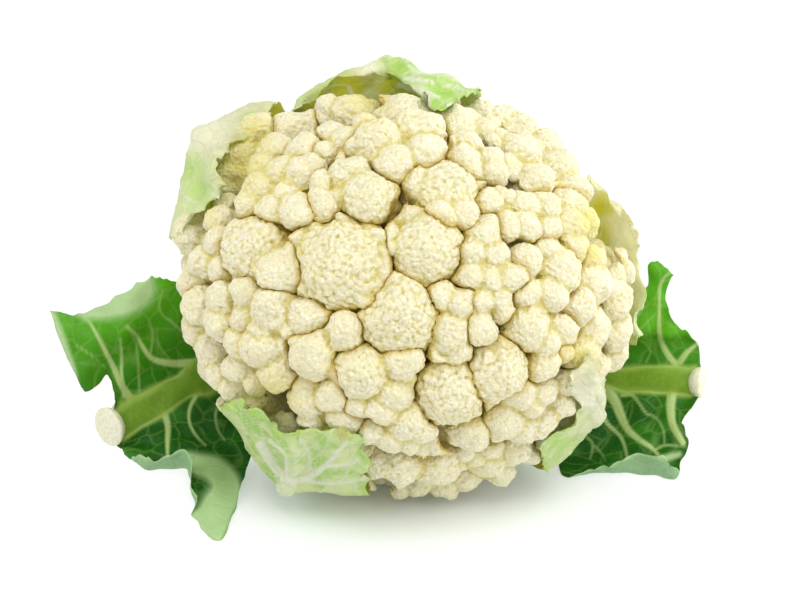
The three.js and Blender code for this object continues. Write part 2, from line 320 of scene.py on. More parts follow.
branches = {
    name: [grown_bump(*bump) for bump in bumps] for name, bumps in BRANCHES.items()
}
print(len(branches), "branches,", sum(map(len, branches.values())), "bumps in sight")

# %% [markdown]
# Between the bumps that stand out there are smaller ones, further back. A rule places
# them: walk over the dome in a spiral, and wherever no bump covers it, set one in.

# %% Small bumps in the gaps
GOLDEN_ANGLE = math.pi * (3 - math.sqrt(5))
TRIAL_STEP = 3.6        # mm between the places that are tried
TRIAL_EDGE = 0.94       # of the dome's radii, where the spiral ends
HOLES = [(-65, 36, 4), (-4, 28, 3), (13.5, -53.5, 3), (-50, -43, 7), (76, 32, 9), (80, 22, 8),
    (70, 42, 8)]        # across, up and size of the places left open


def fill_gaps():
    """Adds small sunken bumps wherever the dome seen from the front lies bare."""
    rng = np.random.default_rng(3)
    names = [name for name, bumps in branches.items() for _ in bumps]
    centres = [centre for bumps in branches.values() for centre, _ in bumps]
    radii = [radius for bumps in branches.values() for _, radius in bumps]
    count = int(CURD["across"] * CURD["up"] * math.pi / TRIAL_STEP ** 2)
    before = len(names)
    for i in range(count):
        share = TRIAL_EDGE * math.sqrt((i + 0.5) / count)
        across = CURD["across"] * share * math.cos(i * GOLDEN_ANGLE)
        up = CURD["up"] * share * math.sin(i * GOLDEN_ANGLE)
        if any(math.hypot(across - a, up - b) < size for a, b, size in HOLES):
            continue
        place = bump_centre(across, up, 3.5)
        gaps = np.linalg.norm(np.array(centres) - place, axis=1) - radii
        nearest = int(gaps.argmin())
        if gaps[nearest] > 0.5:
            radius = min(3.2 + gaps[nearest], 5.0) * rng.uniform(0.9, 1.1)
            centres.append(bump_centre(across, up, radius, rng.uniform(-5, -3)))
            radii.append(radius)
            names.append(names[nearest])
            branches[names[nearest]].append((centres[-1], radius))
    return len(names) - before


print(fill_gaps(), "small bumps in the gaps")

# %% [markdown]
# The rim and the back of the curd aren't seen from the front, but the head will be
# turned round, so they get branches too. These follow a rule: rings of branches, each a
# large bump with smaller ones crowded round it. The rings draw in at the upper right,
# where the head is narrower than the dome.

# %% Branches behind the rim
RIM_RINGS = [
    {"z": -7.0, "count": 11, "radius": 15.0, "turn": 0.1},
    {"z": -24.0, "count": 9, "radius": 14.0, "turn": 0.4},
]
NARROW_AT, NARROW_WIDTH, NARROW_BY = 30, 22, 9      # degrees, degrees, and mm


def any_frame(axis):
    """Two directions at right angles to an axis and to each other."""
    side = np.cross(axis, [0.3, 0.9, 0.2])
    side /= np.linalg.norm(side)
    return side, np.cross(axis, side)


def clustered(centre, outwards, radius, rng):
    """A large bump with smaller ones crowded over its outer side, in a loose spiral."""
    side, rise = any_frame(outwards)
    bumps = [(centre, radius * 0.86)]
    for i in range(1, 15):
        lean = math.acos(max(-0.3, 1 - i * 0.085))
        turn = i * GOLDEN_ANGLE + rng.uniform(-0.2, 0.2)
        way = math.cos(lean) * outwards + math.sin(lean) * (
            math.cos(turn) * side + math.sin(turn) * rise)
        small = radius * rng.uniform(0.32, 0.48)
        bumps.append((centre + way * (radius - small * 0.8), small))
    return bumps


ring_rng = np.random.default_rng(7)
for ring_number, ring in enumerate(RIM_RINGS):
    narrower = math.sqrt(1 - (ring["z"] / CURD["back"]) ** 2)   # the dome at that depth
    for i in range(ring["count"]):
        angle = 2 * math.pi * i / ring["count"] + ring["turn"]
        off_narrow = (math.degrees(angle) - NARROW_AT) / NARROW_WIDTH
        drawn_in = NARROW_BY * math.exp(-off_narrow ** 2)
        reach = np.array([CURD["across"], CURD["up"]]) * narrower - ring["radius"] - 2 - drawn_in
        centre = np.array([
            reach[0] * math.cos(angle), reach[1] * math.sin(angle), ring["z"] + 2])
        outwards = centre / [CURD["across"], CURD["up"], CURD["back"]]
        outwards /= np.linalg.norm(outwards)
        name = f"back_{ring_number}_{i}"
        branches[name] = clustered(centre, outwards, ring["radius"], ring_rng)
print(len(branches), "branches in all")

# %% [markdown]
# ## Buds in sunflower order
#
# The small bumps on a bump sit in the order that seeds have in a sunflower: each one is
# turned by the golden angle from the last. Near the crown they are young and small, and
# towards the rim they are older and larger. On the large bumps they also gather in
# rosettes, with shallow hollows between them. That is the pattern that one recognises a
# cauliflower by.
#
# Buds could be small balls scattered over the bump by an instancer, but tens of thousands
# of balls that cut through each other make no clean surface. Here a bump is a signed
# distance: how far a place in space is from its skin. Distances are easy to join
# smoothly, and one closed surface can be drawn through their zero.

# %% One bump with its buds, as a distance
BLEND = 0.16            # mm, how softly a bud runs into the next
POINTS_AT_ONCE = 40000  # keeps the memory small
CROWN_SPACING = (1.4, 0.04)     # mm between buds, and what each mm of a bump's radius adds
RIM_SPACING = (1.65, 0.1)       # the same towards its rim
ROSETTE_SPACING = (3.4, 0.13)   # the same between rosettes
PACKING = 0.8           # a bud takes up this share of the square of its spacing
BUD_RADIUS = 0.57       # of its spacing
ROSETTE_DEPTH = 0.9     # mm, how far the buds between two rosettes lie back
ROSETTES_FROM, ROSETTES_FULL = 8, 13    # mm, radii of the bumps on which they begin and are full
PAST_THE_RIM = 1.25     # times the half sphere that the buds of a bump cover


def spacing_on(radius, spacing):
    """A spacing on a bump of that radius, in mm."""
    return spacing[0] + spacing[1] * radius


def spiral_ways(apex, count):
    """Directions over the half sphere round an apex, in sunflower order."""
    side, rise = any_frame(apex)
    lean = np.arccos(1 - (np.arange(count) + 0.5) / count)[:, None]
    turn = (np.arange(count) * GOLDEN_ANGLE)[:, None]
    return np.cos(lean) * apex + np.sin(lean) * (np.cos(turn) * side + np.sin(turn) * rise)


def buds_on_bump(radius, apex, rng):
    """Centres and radii of the buds on a bump, from its apex to past its rim."""
    crown_spacing = spacing_on(radius, CROWN_SPACING)
    rim_spacing = spacing_on(radius, RIM_SPACING)
    side, rise = any_frame(apex)
    rosette_spacing = spacing_on(radius, ROSETTE_SPACING)
    large = (radius - ROSETTES_FROM) / (ROSETTES_FULL - ROSETTES_FROM)
    rosette_depth = ROSETTE_DEPTH * min(max(0.0, large), 1.0)
    half = 2 * math.pi * radius ** 2
    rosettes = spiral_ways(apex, int(half / (PACKING * rosette_spacing ** 2)))
    rosettes += rng.normal(0, 0.1 * rosette_spacing / radius, rosettes.shape)
    centres, radii = [], []
    covered = 0.0
    while covered < half * PAST_THE_RIM:
        lean = math.acos(1 - covered / half)
        age = min(1.0, lean / 0.95)
        spacing = crown_spacing + (rim_spacing - crown_spacing) * age ** 1.2
        spacing *= rng.uniform(0.9, 1.12)
        covered += PACKING * spacing ** 2
        turn = len(radii) * GOLDEN_ANGLE
        wobble = rng.normal(0, 0.13 * spacing / radius, 2)
        way = math.cos(lean + wobble[0]) * apex + math.sin(lean + wobble[0]) * (
            math.cos(turn + wobble[1]) * side + math.sin(turn + wobble[1]) * rise)
        bud = BUD_RADIUS * spacing
        off_rosette = np.linalg.norm(rosettes - way, axis=1).min() * radius / rosette_spacing
        drop = rosette_depth * min(1.0, off_rosette / 0.6) ** 2
        centres.append(way * (radius - bud * rng.uniform(0.9, 1.06) - drop))
        radii.append(bud)
    return np.array(centres, np.float32), np.array(radii, np.float32)


# %% The distance from a bump's skin
def bump_distance(points, radius, buds):
    """Distance from the skin of a bump whose centre is the origin."""
    centres, radii = buds
    core = radius * 0.9 - 0.7
    result = np.empty(len(points), np.float32)
    for start in range(0, len(points), POINTS_AT_ONCE):
        p = points[start:start + POINTS_AT_ONCE]
        square = (p ** 2).sum(axis=1)
        gap = square[:, None] + (centres ** 2).sum(axis=1) - 2 * p @ centres.T
        gap = np.sqrt(np.maximum(gap, 0)) - radii
        total = np.exp(gap / -BLEND).sum(axis=1)
        total += np.exp((np.sqrt(square) - core) / -BLEND)
        result[start:start + POINTS_AT_ONCE] = -BLEND * np.log(total + 1e-30)
    return result


# %% [markdown]
# ## A branch as a bunch of bumps on twigs
#
# Every bump stands on a twig, and the twigs of a branch meet in its root, 24 mm below
# the surface. Metaballs could join them, but they know no buds and no pressed sides.
# Here the distances of bumps and twigs are joined into one field, on a grid of cells
# half a millimetre to one millimetre wide, and OpenVDB draws a mesh through its zero.
# Where two branches meet, they share the room between them, as they do when they grow.

# %% Sizes in a branch
MIDDLE_CELL = 0.55      # mm, small enough for the smallest buds
RIM_CELL = 0.67         # mm, where the dome turns away
BACK_CELL = 0.95        # mm, behind the rim, where buds are larger
GAP = -1.2              # mm between two branches: they press on each other
SMALLEST_ON_TWIG = 6.6  # mm, smaller bumps sit in the gaps between twigs
SMALLEST_THAT_PRESSES = 5.5     # mm, smaller bumps give way to their neighbours
BAND = 1.8              # mm either side of the skin in which the field is worked out
ROOT_DEPTH = 24         # mm from a branch's skin to the place where its twigs meet
ROOT_ROOM = 7           # mm of grid round that place
TWIG_FOOT = 4.5         # mm, radius of a twig at its foot
TWIG_TIP = 1.05         # of the bump's radius, the twig's own radius at its tip
TIP_DEPTH = 0.95        # of the bump's radius, from its centre down to the twig's tip
APEX_LEAN = 0.12        # how far a bump's crown turns from straight outwards
PRESSURE = (-0.35, 0.5)         # mm, how much less or more a neighbour presses
PRESS_REACH = 3         # mm round a bump within which it presses
TWIG_BLEND = 2.5        # mm, how softly twigs run together
BUMP_BLEND = 0.6        # mm, how softly bumps of one branch run together
SEAM_BLEND = 2.2        # mm, how softly a branch turns into the seam with the next
SMALLEST_PART = 20.0    # cubic mm, loose parts smaller than this are left out


# %% Two distances joined
def soft_union(a, b, softness):
    """The nearer of two distances, with the crease between them filled a little."""
    mix = np.maximum(softness - np.abs(a - b), 0) / softness
    return np.minimum(a, b) - mix ** 2 * softness / 4


# %% Places on a grid
def cells_around(low, high, cell):
    """The centres of the cells of a grid between two corners."""
    counts = np.ceil((high - low) / cell).astype(int) + 1
    axes = [low[i] + cell * np.arange(counts[i]) for i in range(3)]
    return np.stack(np.meshgrid(*axes, indexing="ij"), axis=-1).astype(np.float32)


def block_of_cells(low, cell, first_corner, last_corner):
    """The cells of a grid between two corners, as slices."""
    first = np.maximum(np.floor((first_corner - low) / cell).astype(int), 0)
    last = np.maximum(np.ceil((last_corner - low) / cell).astype(int) + 1, 0)
    return tuple(slice(a, b) for a, b in zip(first, last))


# %% Distances from balls and twigs
def nearest_bump(points, low, cell, bumps, far):
    """Distance from the nearest of some bumps, taken as plain balls, or the value for far.
    Balls are taken a little larger than they are, so that big ones win over small ones."""
    nearest = np.full(points.shape[:-1], far, np.float32)
    for centre, radius in bumps:
        if radius < SMALLEST_THAT_PRESSES:
            continue
        reach = radius + PRESS_REACH
        block = block_of_cells(low, cell, centre - reach, centre + reach)
        apart = points[block] - centre.astype(np.float32)
        distance = np.sqrt(np.einsum("...i,...i", apart, apart)) - np.float32(radius * 1.07)
        nearest[block] = np.minimum(nearest[block], distance)
    return nearest


def twig_distance(points, foot, tip, foot_radius, tip_radius):
    """Distance from a round twig that widens from its foot to its tip."""
    along = (tip - foot).astype(np.float32)
    from_foot = points - foot.astype(np.float32)
    t = np.clip(from_foot @ along / (along @ along), 0, 1)
    from_foot -= t[..., None] * along
    distance = np.sqrt(np.einsum("...i,...i", from_foot, from_foot))
    return distance - (foot_radius + t * (tip_radius - foot_radius))


# %% Where a branch is rooted
def outward(centre):
    """The dome's outward direction at a place."""
    depth = CURD["front"] if centre[2] > 0 else CURD["back"]
    way = centre / np.array([CURD["across"], CURD["up"], depth]) ** 2
    return way / np.linalg.norm(way)


def branch_root(bumps):
    """The point below the surface where the twigs of a branch meet."""
    weights = np.array([radius ** 2 for _, radius in bumps])
    middle = (np.array([centre for centre, _ in bumps]) * weights[:, None]).sum(axis=0)
    middle /= weights.sum()
    return middle - outward(middle) * ROOT_DEPTH


# %% One branch as a field
def branch_field(bumps, others, cell, rng):
    """One branch: its lowest corner, the distances from its skin on a grid, and the
    distances from the seams where it presses on the bumps of other branches."""
    root = branch_root(bumps)
    low = np.min([c - r - BAND for c, r in bumps] + [root - ROOT_ROOM], axis=0)
    high = np.max([c + r + BAND for c, r in bumps] + [root + ROOT_ROOM], axis=0)
    points = cells_around(low, high, cell)
    field = np.full(points.shape[:3], BAND, np.float32)

    # The twigs, from the root to a little below each bump.
    for centre, radius in bumps:
        if radius < SMALLEST_ON_TWIG:
            continue
        tip = centre - outward(centre) * radius * TIP_DEPTH
        reach = max(radius * 1.3, TWIG_FOOT) + TWIG_BLEND
        block = block_of_cells(low, cell, np.minimum(root, tip) - reach,
            np.maximum(root, tip) + reach)
        twig = twig_distance(points[block], root, tip, TWIG_FOOT, radius * TWIG_TIP)
        field[block] = soft_union(field[block], twig, TWIG_BLEND)
    field = np.clip(field, -BAND, BAND)

    # The bumps. Their buds are worked out only near the skin.
    for centre, radius in bumps:
        block = block_of_cells(low, cell, centre - radius - BAND, centre + radius + BAND)
        near = points[block] - centre.astype(np.float32)
        distance = np.sqrt(np.einsum("...i,...i", near, near))
        skin = (distance < radius + 1.0) & (distance > radius * 0.86 - 1.6)
        value = distance - radius
        apex = outward(centre) + rng.normal(0, APEX_LEAN, 3)
        buds = buds_on_bump(radius, apex / np.linalg.norm(apex), rng)
        value[skin] = bump_distance(near[skin], radius, buds)
        field[block] = soft_union(field[block], np.clip(value, -BAND, BAND), BUMP_BLEND)

    # The seams halfway to the neighbours, and the table below.
    close = [(centre, radius + rng.uniform(*PRESSURE)) for centre, radius in others
        if np.all(centre + radius + 2 > low) and np.all(centre - radius - 2 < high)]
    own = nearest_bump(points, low, cell, bumps, far=3.0)
    theirs = nearest_bump(points, low, cell, close, far=7.0)
    share = (own - theirs) / 2 + GAP / 2
    share = np.clip(share, -BAND, BAND)
    field = -soft_union(-field, -share, SEAM_BLEND)
    table = height_above_table(points.reshape(-1, 3)).reshape(field.shape)
    return low, np.maximum(field, -table.astype(np.float32)), share


# %% [markdown]
# ## From a field to a clean mesh
#
# The grid is coarse beside the finest gaps, so the zero of a field also has crumbs that
# hang on nothing, and sealed hollows that nobody sees. They would be stray faces in the
# finished mesh. Each loose part is measured, and only what holds a real piece of curd
# stays.

# %% The mesh of a field
def volume_of_parts(points, quads, part):
    """What each loose part of a mesh holds, in cubic mm. A sealed hollow holds less than
    nothing, because it faces inwards."""
    a, b, c, d = (points[quads[:, k]] for k in range(4))
    held = (np.cross(a, b) * c).sum(axis=1) / 6 + (np.cross(a, c) * d).sum(axis=1) / 6
    return np.bincount(part[quads[:, 0]], held, len(points))


def without_crumbs(points, quads):
    """Leaves out the loose crumbs and the sealed hollows of a mesh."""
    part = np.arange(len(points))
    joined = part[quads].min(axis=1)
    while True:
        before = part.copy()
        for k in range(4):
            np.minimum.at(part, before[quads[:, k]], joined)
        part = part[part]
        joined = part[quads].min(axis=1)
        if np.array_equal(part, before):
            break
    kept = volume_of_parts(points, quads, part)[part[quads[:, 0]]] > SMALLEST_PART
    used = np.zeros(len(points), bool)
    used[quads[kept]] = True
    return points[used], (np.cumsum(used) - 1)[quads[kept]]


def mesh_field(low, field, cell):
    """Points and quads on the zero of a field, facing out."""
    grid = openvdb.FloatGrid()
    grid.copyFromArray(np.ascontiguousarray(field))
    grid.transform = openvdb.createLinearTransform(voxelSize=cell)
    points, _, quads = grid.convertToPolygons(isovalue=0.0, adaptivity=0.0)
    return without_crumbs(points.astype(float) + low, quads.astype(np.int64))


# %% [markdown]
# ## How deep a place lies
#
# Light reaches the bottom of a crevice only after it has passed through curd, which
# takes the blue out of it. The finish paints this shade into the colour, so it needs to
# know how deep each point lies: the whole curd is drawn once more as coarse cells, full or
# empty, and blurred. A point on a bump's top then sees few full cells round it, and one in
# a crevice sees many.

# %% Blurred cells
DEPTH_CELL = 1.5        # mm
DEPTH_LOW = np.array([-104.0, -92.0, -66.0])
INNER_CORE = [66, 57, 44]       # mm, radii of the room that the stalks fill
NEAR_BLUR, FAR_BLUR = 2.0, 5.0  # cells


def blurred(cells, sigma):
    """Cells blurred by a bell curve of that width in cells, along each axis in turn."""
    reach = int(3 * sigma + 1)
    bell = np.exp(-0.5 * (np.arange(-reach, reach + 1) / sigma) ** 2)
    bell /= bell.sum()
    for axis in range(3):
        padding = [(reach, reach) if axis == a else (0, 0) for a in range(3)]
        padded = np.pad(cells, padding, mode="edge")
        size = cells.shape[axis]
        cells = sum(
            weight * np.take(padded, range(i, i + size), axis=axis)
            for i, weight in enumerate(bell))
    return cells


# %% Values between the cells
def look_up(cells, low, cell, points):
    """Values of a grid at points between its cells."""
    place = np.clip((points - low) / cell, 0, np.array(cells.shape) - 1.001)
    first = place.astype(int)
    share = place - first
    value = np.zeros(len(points))
    for corner in np.ndindex(2, 2, 2):
        weight = np.prod(np.where(corner, share, 1 - share), axis=1)
        value += weight * cells[tuple((first + corner).T)]
    return value


# %% The whole curd as cells
def filled_cells():
    """1 in the cells that curd fills, 0 outside it."""
    points = cells_around(DEPTH_LOW, -DEPTH_LOW + [0, 0, 14], DEPTH_CELL)
    full = np.zeros(points.shape[:3], np.float32)
    for centre, radius in (bump for bumps in branches.values() for bump in bumps):
        block = block_of_cells(DEPTH_LOW, DEPTH_CELL, centre - radius, centre + radius)
        distance = np.linalg.norm(points[block] - centre.astype(np.float32), axis=-1)
        covered = np.clip((radius - distance) / DEPTH_CELL + 0.5, 0, 1)
        full[block] = np.maximum(full[block], covered)
    inner = np.linalg.norm(points / INNER_CORE, axis=-1)
    return np.maximum(full, (inner < 1).astype(np.float32))


full_cells = filled_cells()
near_depth = blurred(full_cells, NEAR_BLUR)
far_depth = blurred(full_cells, FAR_BLUR)
report(f"depth grid {full_cells.shape}")

# %% [markdown]
# ## How deep a place lies between its neighbours
#
# The blurred cells are too coarse for the creases between single buds. For those the
# mesh itself is the measure: average each point with its neighbours a few times, and see
# how far the smoothed skin lies above the real one. Few rounds find the creases between
# buds, and many rounds find those between bumps.

# %% Creases of the mesh itself
def corners_normal(points, quads):
    """A normal at each point, from the diagonals of the quads round it."""
    diagonal = np.cross(points[quads[:, 2]] - points[quads[:, 0]],
        points[quads[:, 3]] - points[quads[:, 1]])
    normal = np.stack([
        sum(np.bincount(quads[:, k], diagonal[:, axis], len(points)) for k in range(4))
        for axis in range(3)], axis=1)
    return normal / np.maximum(np.linalg.norm(normal, axis=1, keepdims=True), 1e-12)


def averaged(values, quads, rounds):
    """Values at the points, each averaged with its neighbours a few times over."""
    count = sum(np.bincount(quads[:, k], minlength=len(values)) for k in range(4))
    count = np.maximum(count, 1)
    for _ in range(rounds):
        ring = values[quads].mean(axis=1)
        values = sum(np.bincount(quads[:, k], ring, len(values)) for k in range(4)) / count
    return values


def crease_depth(points, quads, rounds):
    """How far each point lies below its neighbourhood, in mm: bud tops are negative."""
    smooth = np.stack([averaged(points[:, axis], quads, rounds) for axis in range(3)], axis=1)
    return ((smooth - points) * corners_normal(points, quads)).sum(axis=1)


# %% [markdown]
# ## The meshes of the branches
#
# Each branch becomes a mesh of its own: one closed surface, light enough to handle. They
# are still one growth, and their stalks run together behind. Faces that lie inside a
# neighbour can't be seen from anywhere, so a Decimate modifier thins them out and leaves
# the faces in sight alone.

# %% Thinning out what neighbours hide
ALWAYS_HIDDEN = 0.84    # of the way from the dome's centre to its skin
COVER = 2.1             # mm inside a neighbouring bump from which on a point is hidden
HIDDEN_SHARE_KEPT = 0.04        # of the hidden faces


def hidden_points(points, others):
    """True for points well inside a neighbouring branch, or deep below the dome."""
    depth = np.where(points[:, 2] > 0, CURD["front"], CURD["back"])
    height = np.hypot(points[:, 0] / CURD["across"], points[:, 1] / CURD["up"])
    hidden = np.hypot(height, points[:, 2] / depth) < ALWAYS_HIDDEN
    low, high = points.min(axis=0), points.max(axis=0)
    for centre, radius in others:
        if np.all(centre + radius > low) and np.all(centre - radius < high):
            apart = points - centre
            hidden |= np.einsum("ij,ij->i", apart, apart) < max(radius - COVER, 0) ** 2
    return hidden


def thin_out(piece, hidden):
    """Collapses hidden faces only, with a Decimate modifier that is then applied."""
    group = piece.vertex_groups.new(name="hidden")
    group.add(np.flatnonzero(hidden).tolist(), 1.0, "REPLACE")
    decimate = piece.modifiers.new("thin out", "DECIMATE")
    decimate.vertex_group = group.name
    decimate.ratio = 1 - hidden.mean() * (1 - HIDDEN_SHARE_KEPT)
    evaluated = piece.evaluated_get(bpy.context.evaluated_depsgraph_get())
    thinned = bpy.data.meshes.new_from_object(evaluated)
    thinned.validate()
    old = piece.data
    piece.modifiers.clear()
    piece.data = thinned
    bpy.data.meshes.remove(old)


# %% [markdown]
# ## Granules
#
# Real buds are finer than any bud placed so far: half a millimetre to one millimetre.
# Grains of 2 mm are the finest that these meshes can hold, so they are drawn as coarse
# as that, over bumps and buds alike. The still finer ones are left to the finish.

# %% Granules over everything
GRANULE = 2.0           # mm between the finest buds that a mesh of this size can show
GRANULE_HEIGHT = 0.19   # mm
CELL_PRIMES = np.array([73856093, 19349663, 83492791])  # they mix up a cell's place
JITTER_PRIMES = (40503, 60493, 30011)


def granules(points, spacing, seed):
    """Rounded grains, 0 between them and 1 on their tops. Space is cut into cubes with one
    seed in each, away from its sides, and a grain is what lies nearest to one seed."""
    scaled = points / spacing
    home = np.floor(scaled).astype(np.int64)
    nearest = np.full((2, len(points)), 9.0)
    for offset in np.ndindex(3, 3, 3):
        cell = home + np.array(offset) - 1
        mixed = np.bitwise_xor.reduce(cell * CELL_PRIMES, axis=1) ^ seed
        jitter = np.stack([((mixed * k) >> 7) % 1024 / 1024 for k in JITTER_PRIMES], axis=1)
        apart = np.linalg.norm(scaled - cell - 0.15 - 0.7 * jitter, axis=1)
        nearest = np.sort(np.concatenate([nearest, apart[None]]), axis=0)[:2]
    return np.clip((nearest[1] - nearest[0]) * 1.6, 0, 1) ** 0.5


# %% [markdown]
# Where the leaves hang over the curd, their shade is painted in as yellow. These places are
# written as seen from the front, each with its size.

# %% Painted shade under the leaves
LEAF_SHADE_PLACES = [(-64, 49, 13), (-59, 61, 9), (72, 27, 9), (73, 15, 6), (-15, 77, 11), (-52, -42, 11),
    (68, -26, 7), (-80, 32, 7)]


# %% Branches in sight and behind
BUD_ROUNDS, BUMP_ROUNDS, LOBE_ROUNDS = 3, 12, 60        # of averaging, for three widths


def cell_for(bumps):
    """Fine cells in the middle of the view, coarser ones towards the back, in mm."""
    height = np.mean([centre[2] for centre, _ in bumps])
    cell = MIDDLE_CELL if height > 30 else RIM_CELL if height > 0 else BACK_CELL
    return cell


def branch_piece(name, rng):
    """One branch as a mesh, with all that its finish needs to know at each point."""
    bumps = branches[name]
    cell = cell_for(bumps)
    others = [bump for other, group in branches.items() if other != name for bump in group]
    low, field, seams = branch_field(bumps, others, cell, rng)
    points, quads = mesh_field(low, field, cell)
    known = {
        "near_depth": look_up(near_depth, DEPTH_LOW, DEPTH_CELL, points),
        "far_depth": look_up(far_depth, DEPTH_LOW, DEPTH_CELL, points),
        "crease": crease_depth(points, quads, BUMP_ROUNDS),
        "grain": granules(points, GRANULE, 11),
        "bud_crease": crease_depth(points, quads, BUD_ROUNDS),
        "lobe_crease": crease_depth(points, quads, LOBE_ROUNDS),
        "seam": look_up(seams, low, cell, points),
    }
    hidden = hidden_points(points, others)
    lift = GRANULE_HEIGHT * (known["grain"] - 0.6)
    points += corners_normal(points, quads) * lift[:, None]
    points = warp(points, 17.0, 0.9, 40)
    points = warp(points, 6.5, 0.4, 50)
    # Yellow painted shade, where the leaves hang over the curd.
    known["yellow"] = nearness(points, LEAF_SHADE_PLACES)
    floret = make_piece("floret_" + name, points, quads, known)
    thin_out(floret, hidden)
    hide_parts("curd")
    print(name, len(bumps), "bumps", 2 * len(quads), "->", len(floret.data.loop_triangles),
        "triangles", f"{hidden.mean():.2f} hidden")
    return floret


curd_rng = np.random.default_rng(24)
florets = [branch_piece(name, curd_rng) for name in branches]
report(f"{len(florets)} branches")

# %% [markdown]
# ## The finish of the curd
#
# Raw curd is ivory, faintly translucent and dull, with a little wetness on the buds. The
# colours are laid over each other like thin paint, and most of them are painted shade:
# yellower between the granules, deeper in the creases, brown only at the bottom of the
# crevices, and yellow where the leaves hang over the curd.

# %% Layers of colour
def share_between(tree, value, begins, full):
    """0 to 1 as a value runs from one number to another. A name stands for the mesh's
    attribute."""
    if isinstance(value, str):
        value = add_node(tree, "Attribute", attribute_name=value).outputs["Fac"]
    return add_node(tree, "MapRange", {
        "Value": value, "From Min": begins, "From Max": full}).outputs["Result"]


def painted(tree, ground, layers):
    """A ground colour with thin layers over it. Each layer has the value that places it,
    where that begins and is full, the layer's colour, and its strength if that isn't 1."""
    for value, begins, full, over, *strength in layers:
        share = share_between(tree, value, begins, full)
        if strength:
            share = add_node(tree, "Math", {0: share, 1: strength[0]}, operation="MULTIPLY")
            share = share.outputs[0]
        ground = add_node(tree, "Mix", {0: share, 6: ground, 7: over}, data_type="RGBA").outputs[2]
    return ground


# %% Raw curd: ivory flesh, faintly translucent
CURD_BUD = 1.3          # mm, coarser than the real 0.5 to 1 mm, so that it shows
CURD_PATCH = 20         # mm, patches a little whiter or creamier


def curd_material():
    """Raw curd is wet plant flesh under thousands of buds. Light goes 1 or 2 mm into it and
    comes out warmer, so it never looks as hard as plaster."""
    material, tree, output = new_material("raw_curd")
    place = add_node(tree, "TexCoord").outputs["Object"]
    buds = add_node(tree, "TexVoronoi", {
        "Vector": place, "Scale": per_metre(CURD_BUD), "Smoothness": 0.3}, feature="SMOOTH_F1")
    patches = add_node(tree, "TexNoise", {
        "Vector": place, "Scale": per_metre(CURD_PATCH), "Detail": 2.0})
    tint = painted(tree, "#F4F3E4", [
        (patches.outputs["Fac"], 0.35, 0.75, "#F0EDD2"),
        # Painted shade: darker and yellower between the buds and granules, in the creases, at the
        # seams between branches and deep in the crevices, and yellow where leaves hang over the
        # curd.
        (buds.outputs["Distance"], 0.25, 0.75, "#DDD5A8", 0.8),
        ("grain", 0.9, 0.1, "#E6DDB4"),
        ("bud_crease", 0.0, 0.15, "#D9D19C"),
        ("crease", -0.05, 0.5, "#DACF88"),
        ("lobe_crease", -0.3, 1.4, "#D8CB7C"),
        ("yellow", 0.1, 1.5, "#DCCF5E"),
        ("seam", -1.5, -0.3, "#D8C270"),
        ("near_depth", 0.6, 0.95, "#D6C468"),
        ("far_depth", 0.7, 0.95, "#A8863A"),
    ])
    bump = add_node(tree, "Bump", {
        "Height": buds.outputs["Distance"], "Distance": 0.5 * MM, "Strength": 1.0}, invert=True)
    surface = add_node(tree, "BsdfPrincipled", {
        "Base Color": tint,
        "Roughness": 0.5,
        "IOR": 1.4,
        "Subsurface Weight": 0.35,
        "Subsurface Radius": (1.0, 0.8, 0.35),
        "Subsurface Scale": 2 * MM,
        "Normal": bump.outputs["Normal"],
    })
    tree.links.new(surface.outputs["BSDF"], output.inputs["Surface"])
    return material


raw_curd = curd_material()
for floret in florets:
    floret.data.materials.clear()
    floret.data.materials.append(raw_curd)
print(raw_curd.name, "on", len(florets), "pieces")

# %% [markdown]
# ## The stalks and the stem
#
# Behind the branches their stalks run together into one thick stem. The head was cut from
# its root with a knife, so the stem's end is flat. Cylinders would be quicker, but fused
# stalks have soft hollows between them that no set of cylinders shows. So these two are
# drawn as distances as well, on coarser cells, because little of them is in sight.

# %% Stalks and stem as fields
STALK_CELL = 2.2        # mm
STALK_FOOT, STALK_TIP = 8.5, 6.5        # mm, radii of a stalk's ends
STALK_BLEND = 4.0       # mm, how softly stalks run together
STEM_CELL = 1.1         # mm
STEM_RADIUS = 22.0      # mm
STEM_ENDS = (-93.0, -58.6)      # mm along the head's axis: the cut, and the first stalks
STEM_EDGE = 2.0         # mm, how softly the skin turns into the cut face


def curd_stalks():
    """The stalks of all branches, run together into one root."""
    low, high = np.array([-72.0, -64.0, -70.0]), np.array([72.0, 64.0, 20.0])
    points = cells_around(low, high, STALK_CELL)
    field = np.full(points.shape[:3], 9.0, np.float32)
    trunk = (np.array([0.0, 0.0, -62.0]), np.array([0.0, 0.0, -44.0]), 21.0, 15.0)
    stalks = [trunk]
    for bumps in branches.values():
        tip = branch_root(bumps)
        foot = np.array([tip[0] * 0.15, tip[1] * 0.15, -54.0])
        stalks.append((foot, tip, STALK_FOOT, STALK_TIP))
    for foot, tip, foot_radius, tip_radius in stalks:
        reach = max(foot_radius, tip_radius) + 8
        block = block_of_cells(low, STALK_CELL, np.minimum(foot, tip) - reach,
            np.maximum(foot, tip) + reach)
        stalk = twig_distance(points[block], foot, tip, foot_radius, tip_radius)
        field[block] = soft_union(field[block], stalk, STALK_BLEND)
    points, quads = mesh_field(low, np.clip(field, -4, 4), STALK_CELL)
    piece = make_piece("curd_stalks", points, quads)
    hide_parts("curd")
    report(f"stalks: {len(quads)} faces")
    return piece


